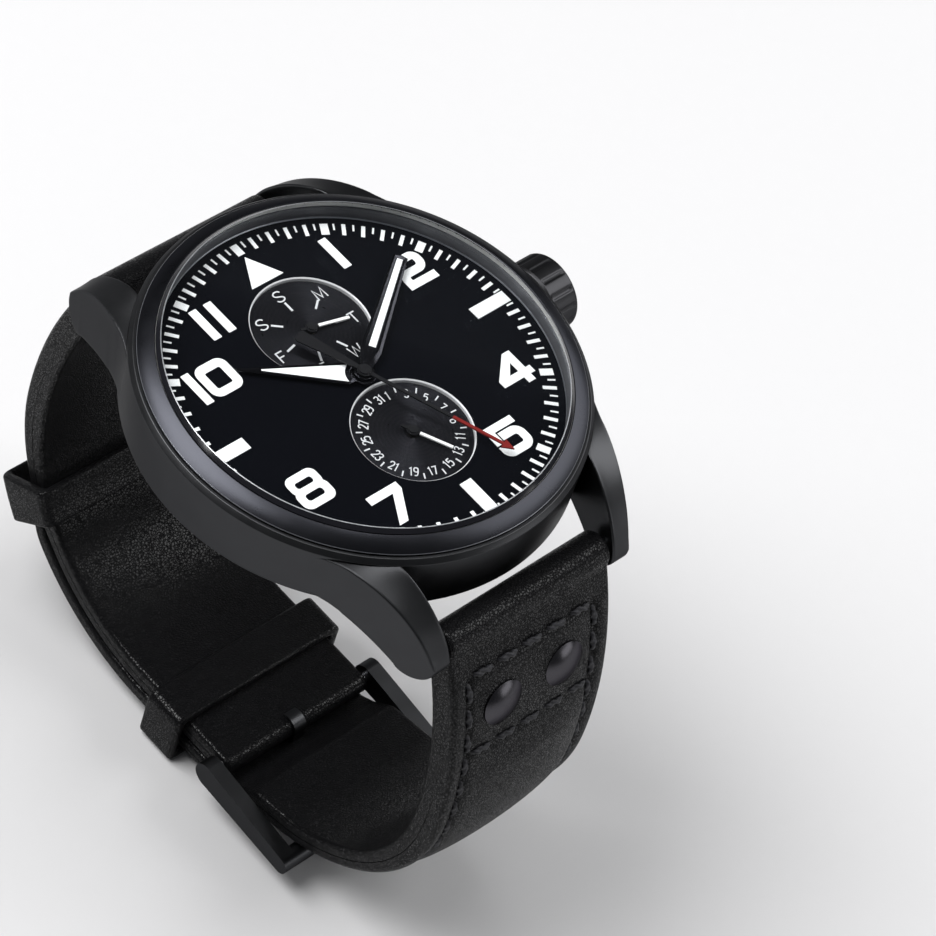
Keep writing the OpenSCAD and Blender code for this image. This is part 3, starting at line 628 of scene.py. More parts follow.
RIVET_GLOSS = GlossCoat("rivet_gloss", tint=(0.062, 0.060, 0.066), rough=0.23, metal=1.0,
                        edge=0.35)
DIAL = DialLacquer("dial_lacquer")
PRINT = Paint("white_print", tint=(0.90, 0.91, 0.90))
FINE_PRINT = Paint("fine_print", tint=(0.62, 0.63, 0.64))
MARKER = Paint("marker_paint", tint=(0.90, 0.91, 0.90))
LUME = Paint("hand_lume", tint=(0.91, 0.92, 0.91))
HAND_GLOSS = GlossCoat("hand_gloss", tint=(0.030, 0.030, 0.034), rough=0.22, metal=1.0,
                       edge=0.5)
STEEL = Metal("steel_bare")
STEEL_BRIGHT = Metal("steel_bright", tint=(0.66, 0.66, 0.67), rough=0.18, grain=Grain.POLISHED)
BRASS = Metal("brass_gilt", tint=(0.72, 0.54, 0.24), rough=0.27, grain=Grain.PEARLED)
BRASS_WHEEL = Metal("brass_wheel", tint=(0.74, 0.57, 0.27), rough=0.22)
MAGNET = Moulded("magnet_grey", tint=(0.14, 0.14, 0.15), rough=0.4)
COPPER = Winding("copper_wire")
BOARD = Board("board_green")
RUBBER = Moulded("rubber_black", tint=(0.025, 0.025, 0.025), rough=0.6)
NYLON = Moulded("nylon_white", tint=(0.74, 0.74, 0.72), rough=0.45)
HOLDER = Moulded("holder_grey", tint=(0.45, 0.45, 0.43), rough=0.5)


# ---------------------------------------------------------------- surfaces


class Axis(Enum):
    """The line a turned piece is turned about."""

    X = 0
    Z = 2


def turned(profile: Array, steps: int = 256, axis: Axis = Axis.Z, centre: Place = (0.0, 0.0, 0.0),
           cut: Optional[Callable[[Array, Array], Array]] = None) -> Array:
    """Turn a profile about an axis.

    Formula: for height h, radius r and angle t the point is centre + (r cos t, r sin t, h) about Z,
    or centre + (h, r cos t, r sin t) about X; cut(t, h) is taken off the radius.

    Args:
        profile: (radius, height) pairs.
        steps: how many angles make the turn.
        axis: the axis.
        centre: a point on the axis.
        cut: what is taken off the radius at an angle and height.

    Returns:
        A grid, profile point by angle.
    """
    t = np.arange(steps) * (2 * math.pi / steps)
    r = profile[:, :1] - (cut(t[None, :], profile[:, 1:2]) if cut else 0.0) + 0.0 * t
    h = profile[:, 1:2] + 0.0 * t
    a, b = r * np.cos(t), r * np.sin(t)
    grid = np.stack((a, b, h) if axis is Axis.Z else (h, a, b), axis=-1)
    return grid + np.array(centre)


def eased(share: Array) -> Array:
    """0 to 1 with level ends: 3 s^2 - 2 s^3."""
    return share * share * (3 - 2 * share)


def corners_of(x0: float, y0: float, x1: float, y1: float) -> list[Pair]:
    """The corners of an upright rectangle, in order round it."""
    return [(x0, y0), (x1, y0), (x1, y1), (x0, y1)]


def filleted(corners: Sequence[Sequence[float]], radius: Union[float, Sequence[float]], steps: int = 5,
             closed: bool = True) -> Array:
    """Round the corners of a polygon.

    Formula: at each corner a circle of the radius touches both sides, r / tan(half angle) from the
    corner; its arc replaces the corner.

    Args:
        corners: (n, 2) corner points.
        radius: one radius, or one for each corner.
        steps: points in each arc.
        closed: whether the last corner joins the first; an open line keeps its two ends.

    Returns:
        The rounded outline.
    """
    p = np.asarray(corners, float)
    r = np.broadcast_to(np.asarray(radius, float), (len(p),)).copy()
    a = np.roll(p, 1, 0) - p
    b = np.roll(p, -1, 0) - p
    la, lb = np.linalg.norm(a, axis=1), np.linalg.norm(b, axis=1)
    a, b = a / la[:, None], b / lb[:, None]
    half = np.arccos(np.clip((a * b).sum(1), -1, 1)) / 2
    half = np.clip(half, 1e-3, math.pi / 2 - 1e-4)
    reach = np.minimum(r / np.tan(half), 0.48 * np.minimum(la, lb))
    r = reach * np.tan(half)
    middle = a + b
    middle /= np.linalg.norm(middle, axis=1)[:, None] + 1e-12
    centre = p + middle * (r / np.sin(half))[:, None]
    start = p + a * reach[:, None] - centre
    finish = p + b * reach[:, None] - centre
    from_a = np.arctan2(start[:, 1], start[:, 0])
    sweep = np.arctan2(finish[:, 1], finish[:, 0]) - from_a
    sweep = (sweep + math.pi) % (2 * math.pi) - math.pi
    t = from_a[:, None] + sweep[:, None] * np.linspace(0, 1, steps)
    arcs = centre[:, None, :] + r[:, None, None] * np.stack((np.cos(t), np.sin(t)), -1)
    if closed:
        return arcs.reshape(-1, 2)
    return np.vstack((p[:1], arcs[1:-1].reshape(-1, 2), p[-1:]))


def arc(centre: Sequence[float], radius: float, start: float, end: float, steps: int) -> Array:
    """Points on a circle between two angles in degrees, both ends included."""
    t = np.radians(np.linspace(start, end, steps))
    return np.array(centre) + radius * np.stack((np.cos(t), np.sin(t)), -1)


def distinct(line: Array, gap: float) -> Array:
    """Which points of a line lie further than a gap from the point before; the first always counts."""
    return np.r_[True, np.linalg.norm(np.diff(line, axis=0), axis=1) > gap]


def run_along(line: Array) -> Array:
    """Length along a line at each of its points."""
    return np.concatenate(([0.0], np.cumsum(np.linalg.norm(np.diff(line, axis=0), axis=1))))


def evened(line: Array, count: int) -> Array:
    """Points at equal steps of length along a line.

    Formula: each coordinate is interpolated against the running length.

    Args:
        line: (n, 2) points.
        count: how many points come back.

    Returns:
        (count, 2) points from the first to the last.
    """
    run = run_along(line)
    at = np.linspace(0, run[-1], count)
    return np.stack([np.interp(at, run, line[:, k]) for k in range(line.shape[1])], -1)


def between(first: Sequence[float], last: Sequence[float], count: int) -> Array:
    """Points at equal steps on the straight line from one point to another."""
    way = np.linspace(0, 1, count)[:, None]
    return np.array(first) * (1 - way) + np.array(last) * way


def softened(line: Array) -> Array:
    """Cut the corners of an open line twice.

    Formula: each side gives way to the two points at a quarter and three quarters of it.

    Args:
        line: (n, 2) points.

    Returns:
        The smoother line with the same two ends.
    """
    for _ in range(2):
        a, b = line[:-1], line[1:]
        inner = np.stack((0.75 * a + 0.25 * b, 0.25 * a + 0.75 * b), 1).reshape(-1, line.shape[1])
        line = np.vstack((line[:1], inner[1:-1], line[-1:]))
    return line


def across_line(line: Array) -> Array:
    """Left-hand normals of an open line in its plane, stretched at corners so offsets keep their width.

    Formula: the sum of the two sides' unit normals, divided by one plus their dot product.

    Args:
        line: (n, 2) points.

    Returns:
        (n, 2) normals.
    """
    step = np.roll(line, -1, 0) - line
    step[-1] = step[-2]
    unit = step / (np.linalg.norm(step, axis=1)[:, None] + 1e-12)
    after = np.stack((-unit[:, 1], unit[:, 0]), -1)
    before = np.roll(after, 1, 0)
    before[0] = after[0]
    dot = np.clip((before * after).sum(1), -0.6, 1.0)
    return (before + after) / (1 + dot)[:, None]


def slab(near: Array, far: Array, edge: float, cells: int, fills: int,
         lift: Optional[Callable[[Array], Array]] = None) -> Array:
    """Draw a side outline across a width and close both sides.

    Formula: the outline moves in a straight line from the near side to the far side. At each side it
    is pulled in by edge * (1 - sin a) while it moves edge * (1 - cos a) across, a quarter circle, and
    then runs straight to the line midway between each point and its partner from the other end.

    Args:
        near: (m, 3) outline on the near side, point i opposite point m - 1 - i.
        far: the same outline on the far side.
        edge: radius of the rounded edges.
        cells: columns between the rounded edges.
        fills: columns that close each side.
        lift: gives how far out each point moves, from the (m, k) widths.

    Returns:
        A grid, outline point by column.
    """
    quarter = np.linspace(0, math.pi / 2, 6)
    back = quarter[::-1]
    flat = np.linspace(0, 1, cells + 2)[1:-1]
    fill = np.linspace(0, 1, fills + 1)[:-1]
    none = np.zeros(fills)
    side = np.concatenate((none, 0 * quarter, flat, 0 * back + 1, none + 1))
    pull = np.concatenate((none + 1, 1 - np.sin(quarter), 0 * flat, 1 - np.sin(back), none + 1))
    move = np.concatenate((none, 1 - np.cos(quarter), 1 - 2 * flat, np.cos(back) - 1, none))
    draw = np.concatenate((1 - fill, 0 * quarter, 0 * flat, 0 * back, 1 - fill[::-1]))
    middle = 0.5 * (near + far)
    turn = across_line(middle[:, 1:])
    turn /= np.linalg.norm(turn, axis=1)[:, None]
    y, z = middle[:, 1], middle[:, 2]
    area = np.sum(y * np.roll(z, -1) - np.roll(y, -1) * z)
    inward = np.concatenate((np.zeros((len(turn), 1)), turn * (1.0 if area > 0 else -1.0)), 1)
    span = far - near
    span /= np.linalg.norm(span, axis=1)[:, None]
    loops = near[:, None] * (1 - side)[None, :, None] + far[:, None] * side[None, :, None]
    loops = loops + edge * (inward[:, None] * pull[None, :, None] + span[:, None] * move[None, :, None])
    midline = 0.5 * (loops + loops[::-1])
    loops = loops + (midline - loops) * draw[None, :, None]
    if lift is not None:
        loops = loops - inward[:, None] * lift(loops[..., 0])[..., None]
    return loops


@dataclass
class Ride:
    """Where a piece belongs: its body, the record's material slot and the solids it stands for."""

    body: str
    slot: str
    replaces: tuple[str, ...] = ()


def quads_of(index: Array) -> Array:
    """The corners of every quad in a grid of point numbers."""
    return np.stack((index[:-1, :-1], index[1:, :-1], index[1:, 1:], index[:-1, 1:]), -1).reshape(-1, 4)


def raised(loop: Array, height: float) -> Array:
    """A flat line with a height as its third column."""
    return np.c_[loop, np.full(len(loop), height)]


class Skin:
    """Grids of points in millimetres that are gathered into one mesh."""

    def __init__(self) -> None:
        """Start empty."""
        self.points: list[Array] = []
        self.quads: list[Array] = []
        self.dress: list[Array] = []
        self.count = 0

    def grid(self, p: Array, wrap_u: bool = False, wrap_v: bool = False, finish: int = 0) -> "Skin":
        """Add a grid of points as quads.

        Args:
            p: (m, n, 3) points.
            wrap_u: join the last row to the first.
            wrap_v: join the last column to the first.
            finish: index of the piece's finish.

        Returns:
            The skin itself.
        """
        m, n = p.shape[:2]
        index = np.arange(m * n).reshape(m, n) + self.count
        index = np.vstack((index, index[:1])) if wrap_u else index
        index = np.hstack((index, index[:, :1])) if wrap_v else index
        quads = quads_of(index)
        self.points.append(p.reshape(-1, 3))
        self.quads.append(quads)
        self.dress.append(np.full(len(quads), finish))
        self.count += m * n
        return self

    def ring(self, outer: Array, inner: Array, low: float, high: float) -> "Skin":
        """Raise the band between two flat loops of equal count into a plate."""
        columns = [raised(inner, low), raised(outer, low), raised(outer, high), raised(inner, high)]
        return self.grid(np.stack(columns, 1), True, True)

    def plate(self, loop: Array, low: float, high: float) -> "Skin":
        """Raise a flat loop into a plate, its faces meeting in the loop's middle.

        Args:
            loop: (n, 2) points, all in sight of their mean.
            low: height of the underside.
            high: height of the face.

        Returns:
            The skin itself.
        """
        loop = np.asarray(loop, float)
        heart = np.broadcast_to(loop.mean(0), loop.shape)
        columns = [raised(heart, low), raised(loop, low), raised(loop, high), raised(heart, high)]
        return self.grid(np.stack(columns, 1), True, False)

    def ribbon(self, line: Array, width: float, low: float, high: float) -> "Skin":
        """Raise a band of even width along an open line into a plate, closed at both ends.

        Args:
            line: (n, 2) points.
            width: the band's width.
            low: height of the underside.
            high: height of the face.

        Returns:
            The skin itself.
        """
        line = np.asarray(line, float)
        line = line[distinct(line, 1e-5)]
        off = across_line(line) * (width / 2)
        left, right = line + off, line - off
        rows = np.stack((raised(left, low), raised(right, low), raised(right, high), raised(left, high)), 1)
        ends = rows[[0, -1]].mean(1, keepdims=True) + 0 * rows[[0, -1]]
        return self.grid(np.concatenate((ends[:1], rows, ends[1:])), False, True)

    def copies(self, points: Array) -> "Skin":
        """Add many small closed grids of one size.

        Args:
            points: (copies, m, n, 3) points; columns wrap, rows don't.

        Returns:
            The skin itself.
        """
        c, m, n = points.shape[:3]
        index = np.arange(m * n).reshape(m, n)
        index = np.hstack((index, index[:, :1]))
        every = (quads_of(index)[None] + (np.arange(c) * m * n)[:, None, None]).reshape(-1, 4) + self.count
        self.points.append(points.reshape(-1, 3))
        self.quads.append(every)
        self.dress.append(np.zeros(len(every), int))
        self.count += c * m * n
        return self

    def build(self, name: str, ride: Ride, *finishes: Finish, crease: float = 38.0) -> bpy.types.Object:
        """Make the object: doubles merged, faces turned outward, sharp edges marked.

        Args:
            name: the piece's name.
            ride: its body, slot and the solids it replaces.
            finishes: the finishes that the grids' numbers point to.
            crease: edges sharper than this many degrees stay sharp.

        Returns:
            The object, in the scene and on its body.
        """
        points = np.concatenate(self.points) * MM
        quads = np.concatenate(self.quads)
        mesh = bpy.data.meshes.new(name)
        mesh.vertices.add(len(points))
        mesh.vertices.foreach_set("co", points.astype(np.float32).ravel())
        mesh.loops.add(quads.size)
        mesh.loops.foreach_set("vertex_index", quads.astype(np.int32).ravel())
        mesh.polygons.add(len(quads))
        mesh.polygons.foreach_set("loop_start", (np.arange(len(quads)) * 4).astype(np.int32))
        for finish in finishes:
            mesh.materials.append(finish.material())
        mesh.polygons.foreach_set("material_index", np.concatenate(self.dress).astype(np.int32))
        mesh.update(calc_edges=True)
        work = bmesh.new()
        work.from_mesh(mesh)
        bmesh.ops.remove_doubles(work, verts=work.verts, dist=MERGE)
        bmesh.ops.recalc_face_normals(work, faces=work.faces)
        work.to_mesh(mesh)
        work.free()
        mesh.polygons.foreach_set("use_smooth", np.ones(len(mesh.polygons), bool))
        mesh.set_sharp_from_angle(angle=math.radians(crease))
        piece = bpy.data.objects.new(name, mesh)
        bpy.context.scene.collection.objects.link(piece)
        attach(piece, ride.body)
        if ride.replaces:
            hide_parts(*ride.replaces)
        log.info("%s: %d faces on body %s", name, len(mesh.polygons), ride.body)
        return piece


def dress(node: str, finish: Finish) -> None:
    """Give a solid's object a finish in every one of its material slots.

    Args:
        node: the solid's name.
        finish: the finish.
    """
    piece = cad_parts[node]
    for slot in piece.material_slots:
        slot.material = finish.material()
    log.info("%s: solid dressed with %s", node, finish.name)


# ---------------------------------------------------------------- case


@dataclass
class CaseMiddle:
    """Round case ring with four turned-down lugs.

    A seat is a radius and a height. Centres of the lug's back, underside and tip are y and z.
    """

    bore: float = 19.5
    radius: float = 23.0
    low: float = 1.7
    foot: Pair = (21.8, 2.5)
    top: float = 8.8
    rim: Pair = (22.56, 9.1)
    bezel_seat: Pair = (21.95, 8.6)
    dial_seat: Pair = (20.9, 7.5)
    roundings: tuple[float, ...] = (0.05, 0.12, 0.25, 0.22, 0.12, 0.05, 0.02, 0.05, 0.02, 0.05)
    lug_in: float = 12.32
    lug_draw: float = 0.18
    roots: Pair = (18.55, 13.2)
    tip: Pair = (13.0, 28.0)
    fillet: float = 15.0
    fillet_at: float = 35.5
    fillet_sunk: float = 0.03
    ring_below: float = 13.36
    back_centre: Pair = (14.44, -4.69)
    back_radius: float = 14.02
    slope: float = 14.0
    slope_from: float = 12.0
    shoulder_blend: float = 0.25
    under_centre: Pair = (10.83, -20.3)
    under_radius: float = 23.3
    tip_centre: Pair = (24.9, 1.0)
    tip_radius: float = 2.3
    tip_turn: float = -123.4
    edge: float = 0.28

    def ring(self, skin: Skin) -> None:
        """Turn the ring's closed profile with its corners rounded.

        Args:
            skin: where it is added.
        """
        r, bezel, dial = self.radius, self.bezel_seat, self.dial_seat
        corners = [(self.bore, self.low), (self.foot[0], self.low), (r, self.foot[1]), (r, self.top - 0.2),
                   self.rim, (bezel[0], self.rim[1]), bezel, (dial[0], bezel[1]), dial, (self.bore, dial[1])]
        skin.grid(turned(filleted(corners, self.roundings)), True, True)

    def outer_face(self, y: Array) -> Array:
        """X of a lug's outer face.

        Formula: a line from the tip touches the fillet's circle, x = cx - sqrt(f^2 - (y - cy)^2), which
        takes over from there; the lowest rows run on just inside the ring.

        Args:
            y: places along the lug.

        Returns:
            The face's x at each place.
        """
        reach = self.radius + self.fillet - self.fillet_sunk
        at = math.radians(self.fillet_at)
        cx, cy = reach * math.cos(at), reach * math.sin(at)
        dx, dy = cx - self.tip[0], cy - self.tip[1]
        far = math.hypot(dx, dy)
        near = self.fillet - self.fillet_sunk
        lean = math.atan2(dy, dx) - math.asin(near / far)
        touch_y = self.tip[1] + math.sqrt(far * far - near * near) * math.sin(lean)
        line = self.tip[0] + (y - self.tip[1]) / math.tan(lean)
        circle = cx - np.sqrt(np.maximum(self.fillet ** 2 - (y - cy) ** 2, 0.0))
        inside = np.sqrt(np.maximum((self.radius - 0.05) ** 2 - y * y, 0.0)) - 0.4
        held = np.where(y < self.ring_below, np.maximum(circle, inside), circle)
        return np.where(y > touch_y, line, held)

    def lug_outline(self, root: float, side: Callable[[Array], Array]) -> Array:
        """One side's outline of a lug, from the root over the back, round the tip and back under it.

        Formula: back z = bz + (sqrt(R^2 - (y - by)^2) - (x - x0) sin s) / cos s, softly held below the
        case's top; the tip is a circle; the hollow z = uz + sqrt(r^2 - (y - uy)^2).

        Args:
            root: the y where the lug starts inside the ring.
            side: gives x from y.

        Returns:
            (121, 3) points.
        """
        cy, cz = self.tip_centre
        t = np.linspace(0, 1, 61)
        y = root + (cy + self.tip_radius - root) * np.sin(t * math.pi / 2) ** 0.9
        lean = math.radians(self.slope)
        by, bz = self.back_centre
        back = bz + np.sqrt(self.back_radius ** 2 - (y - by) ** 2) / math.cos(lean)
        share = np.clip((back - 1.0) / 2.0, 0, 1)
        back = back - eased(share) * (side(y) - self.slope_from) * math.tan(lean)
        soft, most = self.shoulder_blend, self.top - 0.1
        back = most - soft * np.log1p(np.exp((most - back) / soft))
        a = np.radians(np.linspace(0, self.tip_turn, 21))[1:]
        ty, tz = cy + self.tip_radius * np.cos(a), cz + self.tip_radius * np.sin(a)
        uy = np.linspace(ty[-1], root, 41)[1:]
        hollow_y, hollow_z = self.under_centre
        uz = hollow_z + np.sqrt(self.under_radius ** 2 - (uy - hollow_y) ** 2)
        ys, zs = np.concatenate((y, ty, uy)), np.concatenate((back, tz, uz))
        return np.stack((side(ys), ys, zs), -1)

    def lug(self) -> Array:
        """The first lug, between its inner and its outer face.

        Returns:
            A grid that is closed apart from its root inside the ring.
        """
        inner = self.lug_outline(self.roots[0], lambda y: self.lug_in - self.lug_draw * (y - self.bore))
        outer = self.lug_outline(self.roots[1], self.outer_face)
        return slab(inner, outer, self.edge, cells=14, fills=8)

    def build(self) -> None:
        """Ring and four lugs as one piece."""
        skin = Skin()
        self.ring(skin)
        first = self.lug()
        for sx in (1, -1):
            for sy in (1, -1):
                lug = first * np.array((sx, sy, 1.0))
                skin.grid(lug).grid(lug[[0, -1]])
        skin.build("case_middle", Ride("case", "case_black", ("mid_case",)), CASE_COAT, crease=34)


@dataclass
class TopRings:
    """Bezel, crystal and the wall ring between dial and crystal."""

    bezel: tuple[Pair, ...] = ((20.95, 8.6), (21.95, 8.6), (21.95, 9.2), (22.4, 9.3), (20.6, 10.3),
                               (20.6, 10.1), (20.95, 10.1))
    bezel_roundings: tuple[float, ...] = (0.03, 0.03, 0.03, 0.1, 0.09, 0.02, 0.03)
    wall: tuple[Pair, ...] = ((20.30, 8.16), (20.85, 8.16), (20.85, 9.55), (20.42, 9.55))
    wall_lip: tuple[Pair, ...] = ((20.22, 8.0), (20.85, 8.0), (20.85, 8.17), (20.34, 8.17))
    glass_radius: float = 20.55
    glass_low: float = 9.55
    glass_edge: float = 10.3
    glass_top: float = 10.7
    glass_step: float = 0.28
    bevel: float = 0.38

    def build(self) -> None:
        """Three turned pieces; the lips of the bezel and of the wall ring have a brighter finish."""
        arc_steps = 5
        line = filleted(self.bezel, self.bezel_roundings, arc_steps)
        line = np.vstack((line, line[:1]))
        lip, slope = 3 * arc_steps, 4 * arc_steps
        skin = Skin()
        skin.grid(turned(line[:lip]), False, True)
        skin.grid(turned(line[lip - 1:slope]), False, True, 1)
        skin.grid(turned(line[slope - 1:]), False, True)
        skin.build("bezel_ring", Ride("case", "bezel_black", ("bezel",)), BEZEL_COAT, BEZEL_EDGE)
        self.glass()
        wall = Skin()
        wall.grid(turned(filleted(self.wall, 0.04)), True, True)
        wall.grid(turned(filleted(self.wall_lip, 0.03)), True, True, 1)
        wall.build("wall_ring", Ride("case", "wall_black", ("rehaut_ring",)), WALL_COAT, WALL_LIP)

    def glass(self) -> None:
        """The crystal: a clear disc, a dark ground bevel and a thin bright line where they meet."""
        r, low, edge, top = self.glass_radius, self.glass_low, self.glass_edge, self.glass_top
        flat_r = r - self.bevel
        bevel = np.array([(r, edge - self.glass_step), (r, edge), (flat_r, top - 0.03)])
        line = np.array([bevel[2], (flat_r - 0.03, top - 0.005), (flat_r - 0.10, top)])
        under = np.array([(0, low), (r - 0.05, low), (r, low + 0.05), bevel[0]])
        upper = np.array([line[-1], (12.0, top), (0, top)])
        skin = Skin()
        for finish, profile in ((0, under), (1, bevel), (2, line), (0, upper)):
            skin.grid(turned(profile), False, True, finish)
        skin.build("crystal_glass", Ride("case", "crystal", ("crystal",)), CRYSTAL, GLASS_EDGE, GLASS_LINE,
                   crease=20)


@dataclass
class Crown:
    """Fluted crown, turned about X, with a domed end."""

    start: float = 23.25
    end: float = 27.15
    radius: float = 4.1
    height: float = 4.37
    flutes: int = 14
    depth: float = 0.13
    groove: float = 0.15
    tube_collar: float = 2.4

    def flute(self, t: Array, x: Array) -> Array:
        """Depth of the grooves between wide ribs.

        Formula: depth exp(-(p / groove)^4) at each of the equal angles, p the share of a pitch from it,
        faded out towards both ends.

        Args:
            t: angles.
            x: places along the crown.

        Returns:
            What is taken off the radius.
        """
        phase = (t * self.flutes / (2 * math.pi) + 0.5) % 1.0 - 0.5
        bell = np.exp(-(np.abs(phase) / self.groove) ** 4)
        along = np.clip((x - self.start - 0.35) / 0.25, 0, 1) * np.clip((self.end - 0.45 - x) / 0.5, 0, 1)
        return self.depth * bell * along

    def build(self) -> None:
        """One turned piece; extra rows along its side carry the grooves."""
        s, e, r, collar = self.start, self.end, self.radius, self.tube_collar
        line = filleted([(0, s + 0.02), (collar - 0.4, s + 0.02), (collar, s), (r - 0.1, s), (r, s + 0.35),
                         (r, e - 0.35), (r - 0.75, e - 0.06), (0, e)],
                        [0, 0.1, 0.1, 0.12, 0.1, 0.45, 0.35, 0], 8, False)
        side = np.linspace(s + 0.5, e - 0.9, 26)
        split = int(np.argmax(line[:, 1] > s + 0.48))
        line = np.vstack((line[:split], np.c_[np.full(len(side), r), side], line[split:]))
        line = line[distinct(line, 1e-6)]
        grid = turned(line, 336, Axis.X, (0.0, 0.0, self.height), self.flute)
        Skin().grid(grid, False, True).build("crown_fluted", Ride("crown", "crown_black", ("crown",)),
                                             CROWN_COAT, crease=30)


# ---------------------------------------------------------------- dial


def clockwise(clock: float) -> Array:
    """The matrix that turns points, as rows on its left, clockwise by degrees."""
    a = math.radians(clock)
    return np.array(((math.cos(a), -math.sin(a)), (math.sin(a), math.cos(a))))


def outward(clock: float) -> Array:
    """Unit direction of a clockwise angle in degrees."""
    a = math.radians(clock)
    return np.array((math.sin(a), math.cos(a)))


STRAIGHT_SIGNS = {
    "M": [[(-0.42, -0.5), (-0.36, 0.5), (0, -0.38), (0.36, 0.5), (0.42, -0.5)]],
    "T": [[(-0.36, 0.45), (0.36, 0.45)], [(0, 0.45), (0, -0.5)]],
    "W": [[(-0.5, 0.5), (-0.26, -0.5), (0, 0.42), (0.26, -0.5), (0.5, 0.5)]],
    "F": [[(-0.25, 0.5), (-0.25, -0.5)], [(-0.25, 0.45), (0.32, 0.45)], [(-0.25, 0.0), (0.22, 0.0)]],
    "1": [[(-0.16, 0.32), (0.04, 0.47), (0.04, -0.5)]],
    "7": [[(-0.27, 0.45), (0.27, 0.45), (-0.08, -0.5)]],
}
ROUND_SIGNS = {
    "S": [[(0.33, 0.3), (0.2, 0.46), (-0.12, 0.48), (-0.34, 0.3), (-0.28, 0.08), (0.24, -0.1),
           (0.36, -0.3), (0.14, -0.48), (-0.2, -0.46), (-0.36, -0.28)]],
    "2": [[(-0.26, 0.26), (-0.2, 0.46), (0.1, 0.52), (0.3, 0.34), (0.22, 0.06), (-0.26, -0.45)],
          [(-0.3, -0.46), (0.29, -0.46)]],
    "3": [[(-0.25, 0.36), (-0.06, 0.5), (0.22, 0.44), (0.27, 0.2), (0.1, 0.03), (-0.04, 0.03)],
          [(-0.04, 0.03), (0.14, 0.03), (0.31, -0.16), (0.24, -0.44), (-0.04, -0.52), (-0.27, -0.36)]],
    "5": [[(-0.2, 0.45), (-0.22, 0.02)], [(-0.21, 0.45), (0.24, 0.45)],
          [(-0.22, 0.04), (0.0, 0.16), (0.26, 0.08), (0.31, -0.24), (0.1, -0.5), (-0.26, -0.4)]],
    "9": [[(0.26, 0.24), (0.26, 0.46), (0.0, 0.52), (-0.26, 0.44), (-0.27, 0.08), (0.0, -0.04),
           (0.25, 0.04), (0.27, 0.22)], [(0.27, 0.3), (0.27, -0.1), (0.16, -0.46), (-0.18, -0.46)]],
}


def letter(sign: str) -> list[Array]:
    """Strokes of a plain sign in a box one unit high, centred on the origin.

    Args:
        sign: one of the weekday initials or a digit.

    Returns:
        Open lines, corners softened where the sign is round.
    """
    if sign in STRAIGHT_SIGNS:
        return [np.array(line, float) for line in STRAIGHT_SIGNS[sign]]
    return [softened(np.array(line, float)) for line in ROUND_SIGNS[sign]]


